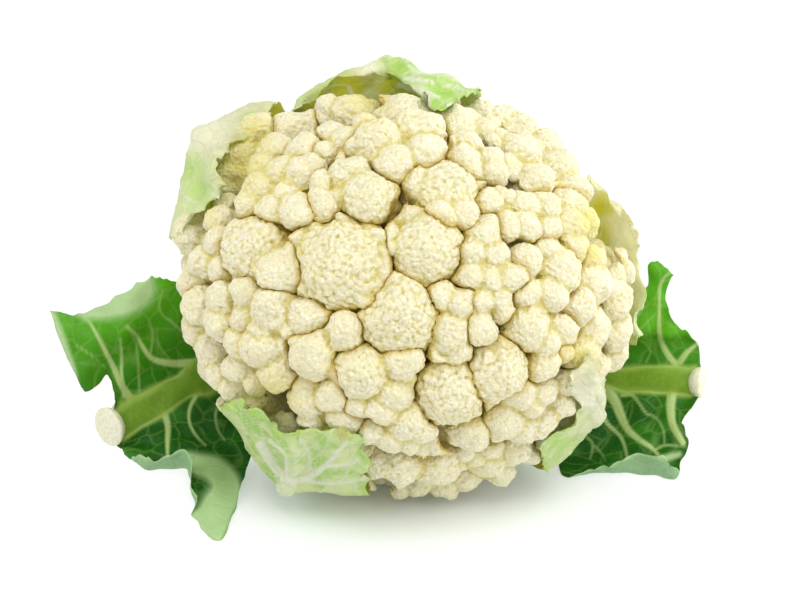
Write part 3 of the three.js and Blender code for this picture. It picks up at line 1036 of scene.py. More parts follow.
def stem():
    """The butt of the stem: an uneven round side between two flat ends."""
    low = np.array([-25.0, -25.0, STEM_ENDS[0] - 2])
    high = np.array([25.0, 25.0, STEM_ENDS[1] + 2])
    points = cells_around(low, high, STEM_CELL)
    flat = points.reshape(-1, 3)
    uneven = waves(flat, 16.0, 80).reshape(points.shape[:3]) * 0.4
    knife = waves(flat, 5.0, 81).reshape(points.shape[:3]) * 0.2
    side = np.hypot(points[..., 0], points[..., 1]) - STEM_RADIUS + 0.5 + uneven
    middle, half_length = sum(STEM_ENDS) / 2, (STEM_ENDS[1] - STEM_ENDS[0]) / 2
    ends = np.abs(points[..., 2] - middle) - half_length + 0.3 + knife
    field = -soft_union(-side, -ends, STEM_EDGE)
    points, quads = mesh_field(low, np.clip(field, -3, 3).astype(np.float32), STEM_CELL)
    piece = make_piece("stem_butt", points, quads, {
        "from_axis": np.hypot(points[:, 0], points[:, 1]),
        "cut": (points[:, 2] < STEM_ENDS[0] + 1.2).astype(float)})
    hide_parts("stem")
    report(f"stem: {len(quads)} faces")
    return piece


stalks_piece, stem_piece = curd_stalks(), stem()

# %% [markdown]
# ## The finish of the stem
#
# A cut stem shows rings: woody rind outside, a green ring of vessels, and pale pith in
# the middle. Painting them by hand would need a picture. Each point knows how far it
# lies from the stem's axis, and that alone places the rings.

# %% Cabbage stem: pale green skin round a cream cut face
STEM_FIBRE = 1.2        # mm between the bundles of fibres
STEM_CLOUD = 12         # mm, patches of waxy bloom


def stem_material():
    """The skin is waxy and dull, and the cut face is damp. A thin green ring of vessels lies
    between the pith and the rind."""
    material, tree, output = new_material("stem_pale_green")
    place = add_node(tree, "TexCoord").outputs["Object"]
    fibres = add_node(tree, "TexNoise", {
        "Vector": place, "Scale": per_metre(STEM_FIBRE), "Detail": 4.0}).outputs["Fac"]
    clouds = add_node(tree, "TexNoise", {
        "Vector": place, "Scale": per_metre(STEM_CLOUD), "Detail": 2.0}).outputs["Fac"]
    cut_face = painted(tree, "#EDEAC8", [
        (fibres, 0.45, 0.7, "#DDD9A4"),
        ("from_axis", 13.5, 15.0, "#C9CF8C"),
        ("from_axis", 16.0, 17.5, "#E6E6BC"),
        ("from_axis", 20.0, 21.5, "#A9C070"),
    ])
    tint = painted(tree, "#C9D79A", [
        (clouds, 0.4, 0.7, "#DDE3B8"),
        (fibres, 0.5, 0.8, "#B4C67C"),
        ("cut", 0.0, 1.0, cut_face),
    ])
    bump = add_node(tree, "Bump", {"Height": fibres, "Distance": 0.4 * MM, "Strength": 0.6})
    surface = add_node(tree, "BsdfPrincipled", {
        "Base Color": tint, "Roughness": 0.45, "IOR": 1.4, "Subsurface Weight": 0.15,
        "Subsurface Radius": (1.0, 0.9, 0.4), "Subsurface Scale": 2 * MM,
        "Normal": bump.outputs["Normal"]})
    tree.links.new(surface.outputs["BSDF"], output.inputs["Surface"])
    return material


stem_finish = stem_material()
for piece in (stalks_piece, stem_piece):
    piece.data.materials.append(stem_finish)
print(stem_finish.name, "on 2 pieces")

# %% [markdown]
# ## Leaves as woven nets of points
#
# A leaf is a thin sheet that bends in both directions. It could be cut from a plane and
# bent with modifiers, but then each fold would fight the next one. Instead each leaf is
# a small net of points: rows from its base to its tip, and columns from margin to
# margin. Smooth curves run through the rows and the columns, and the fine mesh is read
# off them.
#
# Points in sight are written as they are seen from the front: across, up, and how far
# forward they lie.

# %% Fine sheets from coarse nets
def curve_through(points, count):
    """Points on smooth curves through the given ones, along the first axis."""
    points = np.concatenate([[2 * points[0] - points[1]], points, [2 * points[-1] - points[-2]]])
    t = np.linspace(0, len(points) - 3, count)
    first = np.minimum(t.astype(int), len(points) - 4)
    t = (t - first).reshape(-1, *[1] * (points.ndim - 1))
    p0, p1, p2, p3 = (points[first + k] for k in range(4))
    return 0.5 * (2 * p1 + (p2 - p0) * t + (2 * p0 - 5 * p1 + 4 * p2 - p3) * t ** 2
        + (3 * p1 - p0 - 3 * p2 + p3) * t ** 3)


def fine_net(net, rows, columns):
    """A coarse net drawn finer in both directions."""
    across = curve_through(np.swapaxes(net, 0, 1), columns)
    return curve_through(np.swapaxes(across, 0, 1), rows)


def outer_side(sheet):
    """The direction out of a leaf's outer face, at each point of its fine net."""
    along, across = np.gradient(sheet, axis=0), np.gradient(sheet, axis=1)
    way = np.cross(across, along)
    return way / np.maximum(np.linalg.norm(way, axis=-1, keepdims=True), 1e-9)


# %% [markdown]
# ## A sheet with thickness
#
# A Solidify modifier gives the same thickness all over, but a leaf is thick at its rib
# and thin at its margin. So each point of a sheet gets two heights of its own, towards
# the curd and away from it, and a strip of faces round the margin closes the leaf.

# %% A closed leaf from its sheet
TABLE_GAP = 0.15        # mm between the lowest leaves and the table
BLADE = 0.7             # mm, the thickness of a blade
MARGIN_SHARE = 0.35     # of that thickness, at the very margin
MARGIN_WIDTH = 3        # mm in which the blade gets its full thickness


def risen(edge, veins, rib, vein_share, rib_rise):
    """How far a face lies from its sheet: half the blade, and the veins and rib on it."""
    thin = MARGIN_SHARE + (1 - MARGIN_SHARE) * np.clip(edge / MARGIN_WIDTH, 0, 1)
    return BLADE / 2 * thin + veins * vein_share + rib * rib_rise


def leaf_piece(name, sheet, inner_rise, outer_rise, attributes):
    """Closes a sheet into a leaf: an inner face, an outer face, and a rim between them."""
    rows, columns = sheet.shape[:2]
    lowest = height_above_table(sheet) - outer_rise - TABLE_GAP
    sheet = sheet + np.maximum(-lowest, 0)[..., None] * HEAD_TURN[:, 2]
    way = outer_side(sheet)
    points = np.concatenate([
        (sheet - way * inner_rise[..., None]).reshape(-1, 3),
        (sheet + way * outer_rise[..., None]).reshape(-1, 3)])
    index = np.arange(rows * columns).reshape(rows, columns)
    a, b = index[:-1, :-1].ravel(), index[:-1, 1:].ravel()
    c, d = index[1:, 1:].ravel(), index[1:, :-1].ravel()
    far = rows * columns
    rim = np.concatenate([index[0, :], index[1:, -1], index[-1, -2::-1], index[-2:0:-1, 0]])
    following = np.roll(rim, -1)
    faces = np.concatenate([
        np.stack([a, d, c, b], axis=1),
        np.stack([a, b, c, d], axis=1) + far,
        np.stack([rim, following, following + far, rim + far], axis=1)])
    both = {key: np.tile(value.ravel(), 2) for key, value in attributes.items()}
    both["underside"] = np.repeat([0.0, 1.0], far)
    return make_piece(name, points, faces, both)


def sheet_waves(sheet, wavelength, seed):
    """Smooth noise at each point of a sheet."""
    flat = sheet.reshape(-1, sheet.shape[-1])
    return waves(flat, wavelength, seed).reshape(sheet.shape[:2])


def ripple(sheet, edge, length, height, reach, seed):
    """Waves in a sheet, all sizes in mm, that fade out over their reach from the margin."""
    return sheet_waves(sheet, length, seed) * height * np.exp(-edge / reach)


def shaped(sheet, outwards, inwards):
    """A sheet bent out of its own surface, and its margin notched towards its middle."""
    to_middle = sheet[:, sheet.shape[1] // 2][:, None] - sheet
    to_middle /= np.maximum(np.linalg.norm(to_middle, axis=-1, keepdims=True), 1.0)
    sheet = sheet + outer_side(sheet) * outwards[..., None]
    return sheet + to_middle * inwards[..., None]


def margin_distance(sheet):
    """How far each point lies from the leaf's margin, in mm, measured over the sheet."""
    step = np.linalg.norm(np.diff(sheet, axis=1), axis=-1)
    walked = np.concatenate([np.zeros((len(sheet), 1)), np.cumsum(step, axis=1)], axis=1)
    sides = np.minimum(walked, walked[:, -1:] - walked)
    step = np.linalg.norm(np.diff(sheet, axis=0), axis=-1)
    walked = np.concatenate([np.zeros((1, sheet.shape[1])), np.cumsum(step, axis=0)])
    return np.minimum(sides, walked[-1:] - walked)


# %% [markdown]
# ## Veins
#
# The midrib is thick and stands out on the outer face. Lateral veins leave it at an
# angle, thin out, and show on both faces. On the two large leaves the veins in sight are
# drawn one by one, each with its width in mm at its start and end. The rest follow a
# rule.

# %% Vein shapes
THINNEST = 0.8          # mm, half the width of the thinnest vein that the mesh can show


def along_path(places, path, widths):
    """Height of a rounded ridge, 0 to 1, over a path of straight pieces."""
    path = curve_through(np.array(path, float), 6 * len(path))
    lengths = np.concatenate([[0], np.cumsum(np.linalg.norm(np.diff(path, axis=0), axis=1))])
    share = lengths / lengths[-1]
    ridge = np.zeros(places.shape[:-1])
    for k in range(len(path) - 1):
        step = path[k + 1] - path[k]
        t = np.clip((places - path[k]) @ step / max(step @ step, 1e-9), 0, 1)
        apart = np.linalg.norm(places - path[k] - t[..., None] * step, axis=-1)
        at = share[k] + t * (share[k + 1] - share[k])
        half_width = (widths[0] + (widths[1] - widths[0]) * at) / 2
        shown = np.maximum(half_width, THINNEST)
        ridge = np.maximum(ridge, np.exp(-(apart / shown) ** 2 * 1.2) * half_width)
    return ridge


def drawn_paths(places, paths):
    """The highest ridge over some paths, each with its width at its start and its end."""
    ridge = np.zeros(places.shape[:-1])
    for start, end, path in paths:
        ridge = np.maximum(ridge, along_path(places, path, (start, end)))
    return ridge


# %% Veins by rule
def fanned_veins(rows, columns, half_width, count, width, rng):
    """Lateral veins by rule: they leave the midrib in turn and curve to the margin."""
    s = np.linspace(0, 1, rows)[:, None]
    side = np.linspace(-1, 1, columns)[None, :]
    ridge = np.zeros((rows, columns))
    for i in range(count):
        for sign in (-1, 1):
            begin = 0.12 + 0.75 * (i + rng.uniform(0, 0.8)) / count
            length = (0.9 - 0.35 * begin) * rng.uniform(0.7, 1.2)
            reach = np.clip((s - begin) / length, 0, 1.2) ** rng.uniform(0.6, 1.0)
            wobble = 0.05 * np.sin(s * rng.uniform(12, 30) + rng.uniform(0, 6)) * reach
            apart = np.abs(side - sign * (reach + wobble)) * half_width
            thin = width * rng.uniform(0.4, 1.0) * (1 - 0.6 * np.clip(reach, 0, 1)) / 2
            ridge = np.maximum(ridge, np.exp(-(apart / thin) ** 2) * thin * (s > begin))
    return ridge


# %% Veins drawn one by one
VEINS_IN_SIGHT = {
    "outer_leaf_left": [
        (3.4, 1.3, [(-77.5, -27), (-85, -27.5), (-90, -27.5), (-95.5, -26.5), (-99, -24.5),
            (-102, -20), (-104, -16.5), (-107.5, -13.5)]),
        (3, 1.3, [(-106, -41), (-109.5, -36), (-112, -30.5), (-114.5, -25.5), (-118, -18.5),
            (-121, -13), (-124, -9.5)]),
        (2.2, 0.9, [(-108.5, -40), (-109.5, -32), (-109.5, -24.5), (-110, -18)]),
        (0.9, 0.6, [(-102.5, -38.5), (-103, -31), (-103.5, -23), (-105.5, -16.5), (-107, -13)]),
        (0.9, 0.5, [(-98.5, -24.5), (-97.5, -16.5), (-99.5, -10), (-103.5, -7.5)]),
        (1, 0.6, [(-85, -16.5), (-90, -11.5), (-93.5, -9), (-95, -5), (-93.5, 1)]),
        (0.7, 0.4, [(-90, -27), (-95, -20.5), (-96, -13)]),
        (2.8, 1.6, [(-93.5, -45), (-91.5, -51.5), (-91.5, -57.5), (-91.5, -63)]),
        (2, 1, [(-80.5, -40), (-83, -45.5), (-83, -51), (-80, -56.5), (-77, -59.5)]),
        (1.2, 0.8, [(-71, -42), (-73, -47.5), (-72, -53.5), (-69.5, -57.5)]),
        (0.8, 0.5, [(-127, -20.5), (-121, -24.5), (-115.5, -29.5)]),
        (1, 0.5, [(-76, -66), (-73, -73), (-74, -82.5), (-72, -92)]),
    ],
    "outer_leaf_right": [
        (2.6, 1, [(105, -28), (102, -24.5), (99.5, -19.5), (98.5, -14), (98.5, -6), (98.5, 1),
            (100, 5), (102, 7)]),
        (2.6, 1.6, [(106.5, -27), (109.5, -23), (113.5, -19.5)]),
        (4, 1.6, [(75.5, -37), (78.5, -38.5), (81.5, -42.5), (83.5, -47.5), (86.5, -53.5),
            (91, -57.5), (95, -60), (98, -63)]),
        (2.4, 1.1, [(76, -39.5), (76, -45.5), (78, -50.5), (83, -55.5), (85, -59.5),
            (86, -64)]),
        (1.3, 0.7, [(67, -52), (69.5, -55.5), (72.5, -59), (71.5, -66)]),
        (0.9, 0.5, [(72.5, -59), (76, -62.5), (77.5, -66.5)]),
        (1.4, 0.7, [(84, -40), (88, -40), (91, -43.5), (93.5, -47), (97.5, -49), (100, -53.5),
            (100.5, -59.5)]),
        (1.3, 0.7, [(97, -61), (101, -59.5), (108.5, -60)]),
        (3.4, 2.4, [(107, -37), (104, -38.5), (103, -42.5), (103, -47.5), (104, -52),
            (107.5, -58.5)]),
        (0.8, 0.4, [(90, -9.5), (93, -6), (97, -2)]),
        (0.7, 0.4, [(91, -14.5), (95.5, -10), (98.5, -7)]),
        (0.7, 0.4, [(93.5, -27), (95, -22.5), (91, -18)]),
    ],
    "wrapper_leaf_lower_left": [
        (3.4, 1.6, [(-55.5, -59), (-48.5, -69), (-40.5, -72), (-31, -67), (-23, -57.5)]),
        (2, 1, [(-40.5, -72), (-29, -73.5), (-17.5, -72), (-13.5, -69)]),
        (1.8, 1, [(-31, -67), (-21.5, -66), (-13, -63)]),
        (1.6, 1, [(-52, -57), (-46.5, -62), (-44.5, -69)]),
        (1.4, 1, [(-40, -57), (-37, -63), (-37.5, -70)]),
    ],
    "wrapper_leaf_lower_right": [
        (2.2, 1, [(77, -34), (69, -35), (62, -39)]),
        (1.6, 1, [(75, -40), (68, -43), (62, -49)]),
    ],
    "wrapper_leaf_top": [
        (2, 1, [(-2, 80), (9.5, 76), (19.5, 70.5)]),
        (1.8, 1, [(0, 82), (13.5, 80), (27, 76)]),
        (1.4, 1, [(3, 84), (12, 84), (20, 82)]),
    ],
}

# %% [markdown]
# ## The two outer leaves
#
# These grew lowest on the stem, in full light, so they are large, dark and tough. Their
# midribs were cut through when the head was trimmed, which leaves an oval cut face at
# the end of each. The lower margin of both has rolled up, and shows the paler underside.

# %% Nets of the outer leaves
OUTER_LEAVES = {
    "outer_leaf_left": [
        [(-62, -3, -56), (-62.5, -7.5, -59), (-63.5, -13, -62), (-64, -17.5, -65),
            (-64, -20.5, -66), (-64, -23, -67), (-63.5, -26.5, -67), (-62.5, -31, -66),
            (-61, -37, -63), (-58, -42.5, -58), (-55.5, -49, -50), (-54, -53.5, -44)],
        [(-77.5, 1.5, -48), (-78, -4.5, -50), (-78.5, -11, -52), (-79, -18, -54),
            (-79, -22.5, -55), (-79, -26.5, -55), (-77.5, -32, -55), (-75.5, -38.5, -54),
            (-71, -45, -49), (-67, -53.5, -42), (-62, -59.5, -35), (-59, -62.5, -31)],
        [(-82.5, 3, -46), (-83, -3, -48), (-83, -10, -50), (-83.5, -18, -51), (-84, -22.5, -52),
            (-84.5, -28, -52), (-81, -34, -52), (-78, -40.5, -51), (-74, -48, -46),
            (-69.5, -57.5, -38), (-65, -65.5, -27), (-62.5, -73, -12)],
        [(-87, 4, -44), (-87, -2.5, -45), (-87.5, -9.5, -46), (-88, -17, -48),
            (-88.5, -23, -49), (-89, -30, -50), (-85, -36.5, -50), (-82, -43, -49),
            (-78, -50.5, -44), (-74, -59, -36), (-73, -72, -12), (-71, -96.5, 25)],
        [(-93, 5.5, -42), (-92.5, -1.5, -42), (-93, -9, -43), (-94, -18, -45), (-94, -24, -46),
            (-93.5, -32.5, -47), (-90, -38.5, -48), (-86.5, -45.5, -47), (-83, -52, -42),
            (-79.5, -59, -34), (-79.5, -69, -16), (-81, -88.5, 10)],
        [(-100, 6, -40), (-98.5, 0, -38), (-99, -7.5, -38), (-100, -16.5, -41),
            (-100, -23.5, -42), (-99.5, -36.5, -44), (-96.5, -42.5, -46), (-93.5, -49, -45),
            (-91.5, -54.5, -40), (-88.5, -59, -33), (-86.5, -67.5, -22), (-84, -62, -13)],
        [(-111, -1.5, -36), (-109.5, -6.5, -32), (-108, -14, -31), (-107.5, -21.5, -35),
            (-107, -28.5, -38), (-105, -40, -42), (-103, -46, -44), (-101, -52.5, -43),
            (-100, -57.5, -39), (-98.5, -62, -33), (-98, -69, -24), (-96, -65.5, -16)],
        [(-124.5, -8, -34), (-121, -11, -29), (-118, -17, -28), (-115.5, -23, -31),
            (-113.5, -28.5, -34), (-109, -43, -40), (-110, -49.5, -43), (-108, -57, -42),
            (-107.5, -60.5, -38), (-106, -63, -33), (-104, -66, -28), (-102.5, -64, -24)],
        [(-137.5, -7.5, -28), (-133.5, -18, -25), (-129, -28.5, -25), (-123, -38.5, -28),
            (-115, -31.5, -33), (-112, -44.5, -39), (-116, -52.5, -42), (-111, -59.5, -42),
            (-109.5, -61, -38), (-108, -63, -34), (-106, -65, -30), (-105, -64, -27)],
    ],
    "outer_leaf_right": [
        [(54, -57.5, -40), (54, -54, -46), (56, -47.5, -52), (58.5, -42, -58), (60, -37, -62),
            (61, -33.5, -64), (62, -29.5, -63), (63, -22.5, -62), (64.5, -14.5, -60),
            (67.5, -7.5, -58), (71, -3, -56)],
        [(61.5, -71.5, -20), (63, -69.5, -25), (66.5, -60.5, -38), (71, -50.5, -46),
            (75.5, -37, -52), (76, -33, -54), (77, -29.5, -54), (77, -21.5, -53),
            (78, -13, -52), (81, -4.5, -50), (84, 1, -48)],
        [(74.5, -67.5, -18), (74, -70, -24), (76.5, -63, -36), (80, -52.5, -44), (84, -40, -48),
            (85, -34, -50), (85, -28.5, -50), (85, -21.5, -49), (85, -15, -46), (86.5, -6, -48),
            (89.5, 1.5, -48)],
        [(87, -64.5, -14), (86.5, -69.5, -23), (87, -62.5, -32), (88.5, -52.5, -40),
            (91.5, -40.5, -45), (92.5, -34, -47), (93, -27.5, -47), (92, -21.5, -45),
            (91.5, -15, -41), (92.5, -6, -46), (93.5, 3, -48)],
        [(99.5, -62.5, -12), (102, -72, -19), (100, -62, -28), (99.5, -52.5, -35),
            (102.5, -42, -40), (103.5, -34, -42), (103.5, -26.5, -42), (101, -20.5, -41),
            (99, -15, -37), (97.5, -2.5, -43), (95.5, 13, -48)],
        [(103.5, -69, -15), (106, -67, -20), (109.5, -59, -27), (107, -50, -32),
            (113.5, -42.5, -36), (115, -35, -38), (114, -26.5, -38), (113, -19.5, -38),
            (107, -15, -33), (100, -3, -40), (103, 6, -46)],
    ],
}

# %% Margins, midribs and bases of the outer leaves
BLEACHED = {            # places where the margin is folded and its pale side shows
    "outer_leaf_left": [
        (9, 14, [(-123, -5), (-116, -3.5), (-110, -1), (-106, 2)]),
        (4, 3.5, [(-136.5, -9), (-132.5, -18.5), (-128, -32)]),
        (7, 12, [(-83, -66), (-73.5, -69), (-69, -76), (-72.5, -84), (-77.5, -94)]),
    ],
    "outer_leaf_right": [
        (3, 4, [(106, -63), (98, -65), (88, -67)]),
    ],
}
STEM_SIDE = 22.4        # mm from the stem's axis to the first row of each leaf
BASE_ALONG = -79.0      # mm along the head's axis, where the outer leaves leave the stem
BASE_SPREAD = 34.0      # degrees, half of what the base of an outer leaf wraps round
MIDRIB_COLUMN = {"outer_leaf_left": 6, "outer_leaf_right": 5}       # of the coarse net
BASE_AZIMUTH = {"outer_leaf_left": -155.6, "outer_leaf_right": -17.0}       # degrees
OUTER_ROWS, OUTER_COLUMNS = 126, 134    # the coarsest fine net that carries the veins
MIDRIB_HALF, MIDRIB_TAPER = 7.5, 0.9    # mm, half its width at the base, and what that loses

# Length, height and reach of the waves in mm, and the seed of their noise.
RUFFLE = (15.0, 1.6, 9, 60)
QUILT = (11.0, 0.55, math.inf, 61)
NOTCHES = (6.0, 1.4, 3, 62)


def base_row(azimuth, columns):
    """The first row of a leaf, round the stem's side."""
    angle = np.radians(azimuth + np.linspace(-BASE_SPREAD, BASE_SPREAD, columns))
    return np.stack([STEM_SIDE * np.cos(angle), STEM_SIDE * np.sin(angle),
        np.full(columns, BASE_ALONG)], axis=1)


# %% The outer leaves
def outer_leaf(name):
    """One outer leaf: its net drawn fine, ruffled, and given veins and a midrib."""
    seen = seen_to_head(OUTER_LEAVES[name])
    columns = seen.shape[1]
    net = np.concatenate([[base_row(BASE_AZIMUTH[name], columns)], seen])
    sheet = fine_net(net, OUTER_ROWS, OUTER_COLUMNS)
    s = np.linspace(0, 1, OUTER_ROWS)[:, None]
    edge = margin_distance(sheet)
    free = np.clip(s * 3 - 0.6, 0, 1)
    bent = ripple(sheet, edge, *RUFFLE) + ripple(sheet, edge, *QUILT)
    notched = np.abs(ripple(sheet, edge, *NOTCHES))
    sheet = shaped(sheet, bent * free, notched * free)
    places = head_to_seen(sheet)
    veins = drawn_paths(places, VEINS_IN_SIGHT[name])
    folded = drawn_paths(places, BLEACHED[name])
    middle = MIDRIB_COLUMN[name] / (columns - 1)
    q = np.linspace(0, 1, OUTER_COLUMNS)[None, :]
    width = np.linalg.norm(np.diff(sheet, axis=1), axis=-1).sum(axis=1)[:, None]
    off_rib = (q - middle) * width
    rib_half = MIDRIB_HALF - MIDRIB_TAPER * s
    rib = np.sqrt(np.clip(1 - (off_rib / rib_half) ** 2, 0, 1))
    collar = np.exp(-(off_rib / (rib_half * 1.25)) ** 6)
    rib *= np.sqrt(np.clip((1 - s) * 25, 0, 1))
    inner_rise = risen(edge, veins, rib, vein_share=0.3, rib_rise=1.6)
    outer_rise = risen(edge, veins, rib, vein_share=0.7, rib_rise=9.0)
    piece = leaf_piece(name, sheet, inner_rise, outer_rise, {
        "vein": veins,
        "midrib": collar,
        "bleached": np.clip(folded * 0.6, 0, 1),
        "edge": np.clip(1 - edge / 4, 0, 1),
        "cut": collar * np.clip(s * 40 - 38.4, 0, 1)})
    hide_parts(name)
    report(f"{name}: {len(piece.data.polygons)} faces")
    return piece


outer_leaves = [outer_leaf(name) for name in OUTER_LEAVES]

# %% [markdown]
# ## The cut ends of the midribs
#
# Each midrib ends in the oval face that the knife left. It could be a cylinder's lid, but
# its middle corner would pinch the shading. It is a sheet too: a square net pressed into
# a disc, with a slightly domed face and a long back that sits in the midrib.

# %% Cut ends of the midribs
CUT_END_POINTS = 40     # along each side of the square net
CUT_ENDS = {            # centre, the way the face looks, half its width and height in mm
    "outer_leaf_left": ((-119.5, -54.5, -39.0), (-0.6, -0.3, 0.74), 7.6, 8.2),
    "outer_leaf_right": ((119.5, -36.5, -37.5), (0.93, -0.05, 0.36), 5.2, 6.4),
}


def cut_end(name):
    """The cut face at the end of an outer leaf's midrib."""
    centre, facing, wide, tall = CUT_ENDS[name]
    facing = np.array(facing) / np.linalg.norm(facing)
    side = np.cross([0, 1, 0], facing)
    side /= np.linalg.norm(side)
    x, y = np.meshgrid(*[np.linspace(-1, 1, CUT_END_POINTS)] * 2, indexing="ij")
    x, y = x * np.sqrt(1 - y ** 2 / 2), y * np.sqrt(1 - x ** 2 / 2)
    sheet = np.array(centre) + x[..., None] * side * wide + (
        y[..., None] * np.cross(facing, side) * tall)
    off_middle = np.hypot(x, y)
    round_off = np.sqrt(np.clip(1 - off_middle ** 2, 0, 1))
    fibres = sheet_waves(sheet, 1.6, 95) * 0.15
    piece = leaf_piece(name + "_cut_end", sheet, 0.1 + (1.3 + fibres) * round_off,
        0.1 + 5.0 * round_off, {"vein": 0 * x, "cut": np.ones(x.shape)})
    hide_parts(name)
    return piece


cut_ends = [cut_end(name) for name in CUT_ENDS]
report(f"{len(cut_ends)} cut ends")

# %% [markdown]
# ## The wrapper leaves
#
# Five small leaves hug the rim of the curd. They grew in the dark under the outer ones,
# so they are pale, soft and half translucent, with thick white veins and a frilly edge.
# Behind the rim they follow a simple curve from the stem, and in front of it each has
# its own rows.

# %% Nets of the wrapper leaves
WRAPPER_LEAVES = {
    "wrapper_leaf_top": [
        [(25, 67.5, -14), (15.5, 71, -14), (6, 72.5, -14), (-4, 73.5, -14), (-13.5, 73.5, -14),
            (-23, 73, -14), (-33, 71, -14), (-42.5, 66.5, -14), (-50.5, 61, -14)],
        [(28.5, 72.5, -5), (19.5, 77.5, -6), (9.5, 80.5, -8), (0, 84.5, -10), (-9.5, 82, -12),
            (-19.5, 81, -12), (-30, 78, -12), (-38.5, 73.5, -10), (-47.5, 66, -10)],
        [(30, 75, 2), (19.5, 81, 2), (9.5, 83, 0), (1.5, 90, -3), (-7, 91, -6),
            (-17, 86.5, -8), (-31, 79.5, -7), (-40.5, 74.5, -5), (-49, 65.5, -5)],
        [(30, 75.5, 8), (23, 75, 12), (13.5, 70, 14), (2.5, 78.5, 7), (-6, 84, -1),
            (-18, 83, -3), (-32, 77, -3), (-42, 72, -3), (-50, 63, -3)],
    ],
    "wrapper_leaf_upper_left": [
        [(-46.5, 70.5, -18), (-52, 69.5, -18), (-60, 66, -18), (-67.5, 61, -18),
            (-74.5, 55, -18), (-78, 47, -18), (-80, 39.5, -18), (-82, 31.5, -18),
            (-84, 22, -18)],
        [(-50.5, 72, -8), (-55.5, 73, -8), (-63, 71, -8), (-71, 66, -8), (-79.5, 61, -8),
            (-84, 53, -8), (-85.5, 44, -6), (-88, 33.5, -4), (-90, 20, -4)],
        [(-51.5, 69.5, 2), (-55.5, 68, 3), (-61.5, 65, 4), (-67.5, 59.5, 6), (-74, 55, 8),
            (-77, 48, 8), (-78, 40, 10), (-82, 32.5, 12), (-88, 21.5, 8)],
        [(-52, 66.5, 6), (-57, 64.5, 9), (-62.5, 61, 12), (-67, 55.5, 14), (-71, 51, 16),
            (-71, 45, 18), (-71.5, 38.5, 18), (-78, 32.5, 18), (-86.5, 23, 12)],
    ],
    "wrapper_leaf_right": [
        [(86.5, -20.5, -20), (85.5, -13, -20), (84, -3, -20), (81.5, 5.5, -20),
            (78.5, 14.5, -20), (75.5, 22, -20), (72.5, 28.5, -20), (68.5, 35.5, -20),
            (64.5, 42.5, -20)],
        [(89.5, -18, -10), (90, -10, -10), (89.5, -1.5, -10), (87, 6.5, -10), (84, 15.5, -10),
            (80.5, 23, -10), (76, 29.5, -10), (71, 35.5, -10), (66, 43.5, -10)],
        [(89, -17, -4), (91.5, -8.5, -4), (91.5, 1, -3), (90.5, 8.5, -1), (89, 16.5, 1),
            (88, 25, 4), (85.5, 32.5, 5), (76.5, 37, 4), (68, 43.5, 2)],
    ],
    "wrapper_leaf_lower_right": [
        [(52, -69, -12), (58, -65, -12), (63.5, -59.5, -12), (68, -54.5, -12),
            (71.5, -49, -12), (74, -43, -12), (75, -37, -12), (75, -31, -12),
            (74, -25, -12)],
        [(52.5, -66.5, 2), (59, -62, 2), (63.5, -57, 2), (68, -51.5, 2), (72, -45.5, 2),
            (73.5, -39.5, 2), (73.5, -33.5, 0), (73, -28.5, -2), (71.5, -24, -4)],
        [(52, -64, 12), (57.5, -59.5, 13), (62.5, -54.5, 14), (67.5, -49, 15), (71, -42.5, 16),
            (71.5, -36.5, 16), (71, -31, 14), (70, -26.5, 10), (70, -22.5, 6)],
        [(51.5, -61, 18), (55.5, -57.5, 19), (60, -54, 20), (65, -49, 20), (66.5, -42.5, 22),
            (62.5, -37, 24), (61, -31.5, 24), (63, -27, 20), (67.5, -23, 14)],
    ],
    "wrapper_leaf_lower_left": [
        [(-69.5, -42.5, -8), (-64.5, -51, -6), (-59, -60, -4), (-53, -69, 0), (-45.5, -75, 6),
            (-37.5, -76, 8), (-29, -76.5, 10), (-21.5, -77.5, 12), (-13.5, -77.5, 14)],
        [(-68, -42, 4), (-62.5, -48.5, 8), (-57.5, -56.5, 12), (-50.5, -64.5, 17),
            (-43.5, -70, 22), (-36.5, -71, 24), (-28.5, -72, 26), (-20.5, -73, 26),
            (-13.5, -75, 24)],
        [(-67, -41.5, 12), (-60, -45.5, 18), (-54, -51.5, 24), (-48.5, -58.5, 30),
            (-42, -62.5, 34), (-35, -63.5, 36), (-27, -64, 37), (-19.5, -66, 36),
            (-13, -70.5, 32)],
        [(-66, -41, 18), (-59, -42.5, 24), (-54.5, -45, 30), (-49.5, -53.5, 36),
            (-42.5, -54, 40), (-35, -53.5, 42), (-26.5, -52, 43), (-19.5, -53, 42),
            (-13, -59, 38)],
    ],
}

# %% Bases and tints of the wrapper leaves
WRAPPER_AZIMUTH = {     # degrees round the stem, and half the width of the hidden rows in mm
    "wrapper_leaf_top": (98, [8, 15, 30]),
    "wrapper_leaf_upper_left": (149, [7, 11, 20]),
    "wrapper_leaf_right": (13, [7, 12, 22]),
    "wrapper_leaf_lower_right": (-42, [7, 11, 20]),
    "wrapper_leaf_lower_left": (-124, [8, 13, 24]),
}
PALENESS = {            # 0 green to 1 white, at the first and at the last column
    "wrapper_leaf_top": (0.0, 0.5),
    "wrapper_leaf_upper_left": (1.0, 0.6),
    "wrapper_leaf_right": (0.8, 1.1),
    "wrapper_leaf_lower_right": (0.3, 1.1),
    "wrapper_leaf_lower_left": (0.1, 0.2),
}
# Pale places of the wrapper leaves, and painted light where the thin leaves glow brightest.
WHITE_AND_GLOWING_PLACES = [(-15, 86, 7), (-74, 63, 10), (-82, 58, 7), (82, 24, 10), (88, 8, 10), (65, -35, 8),
    (70, -40, 7)]       # across, up and size of the places painted whiter
FRESH = [(-3, 87, 5.5), (-83, 47, 9), (-80, 39, 8), (-60, 66, 4), (14, 76, 6), (60, -58, 7)]
TOUCHING = [(-22, 79, 8), (-8, 80, 6), (-34, 74, 5), (-62, 56, 7), (-65, 46, 8), (73, 23, 7),
    (76, 33, 5), (-24, -54, 4)]     # where a leaf touches the curd and has gone yellow
WRAPPER_SPINE = [(STEM_SIDE, -70.0), (33.0, -60.0), (60.0, -43.0)]  # from, and along, the axis
CLEARANCE = 1.5         # mm between the dome and the leaves that lie on it
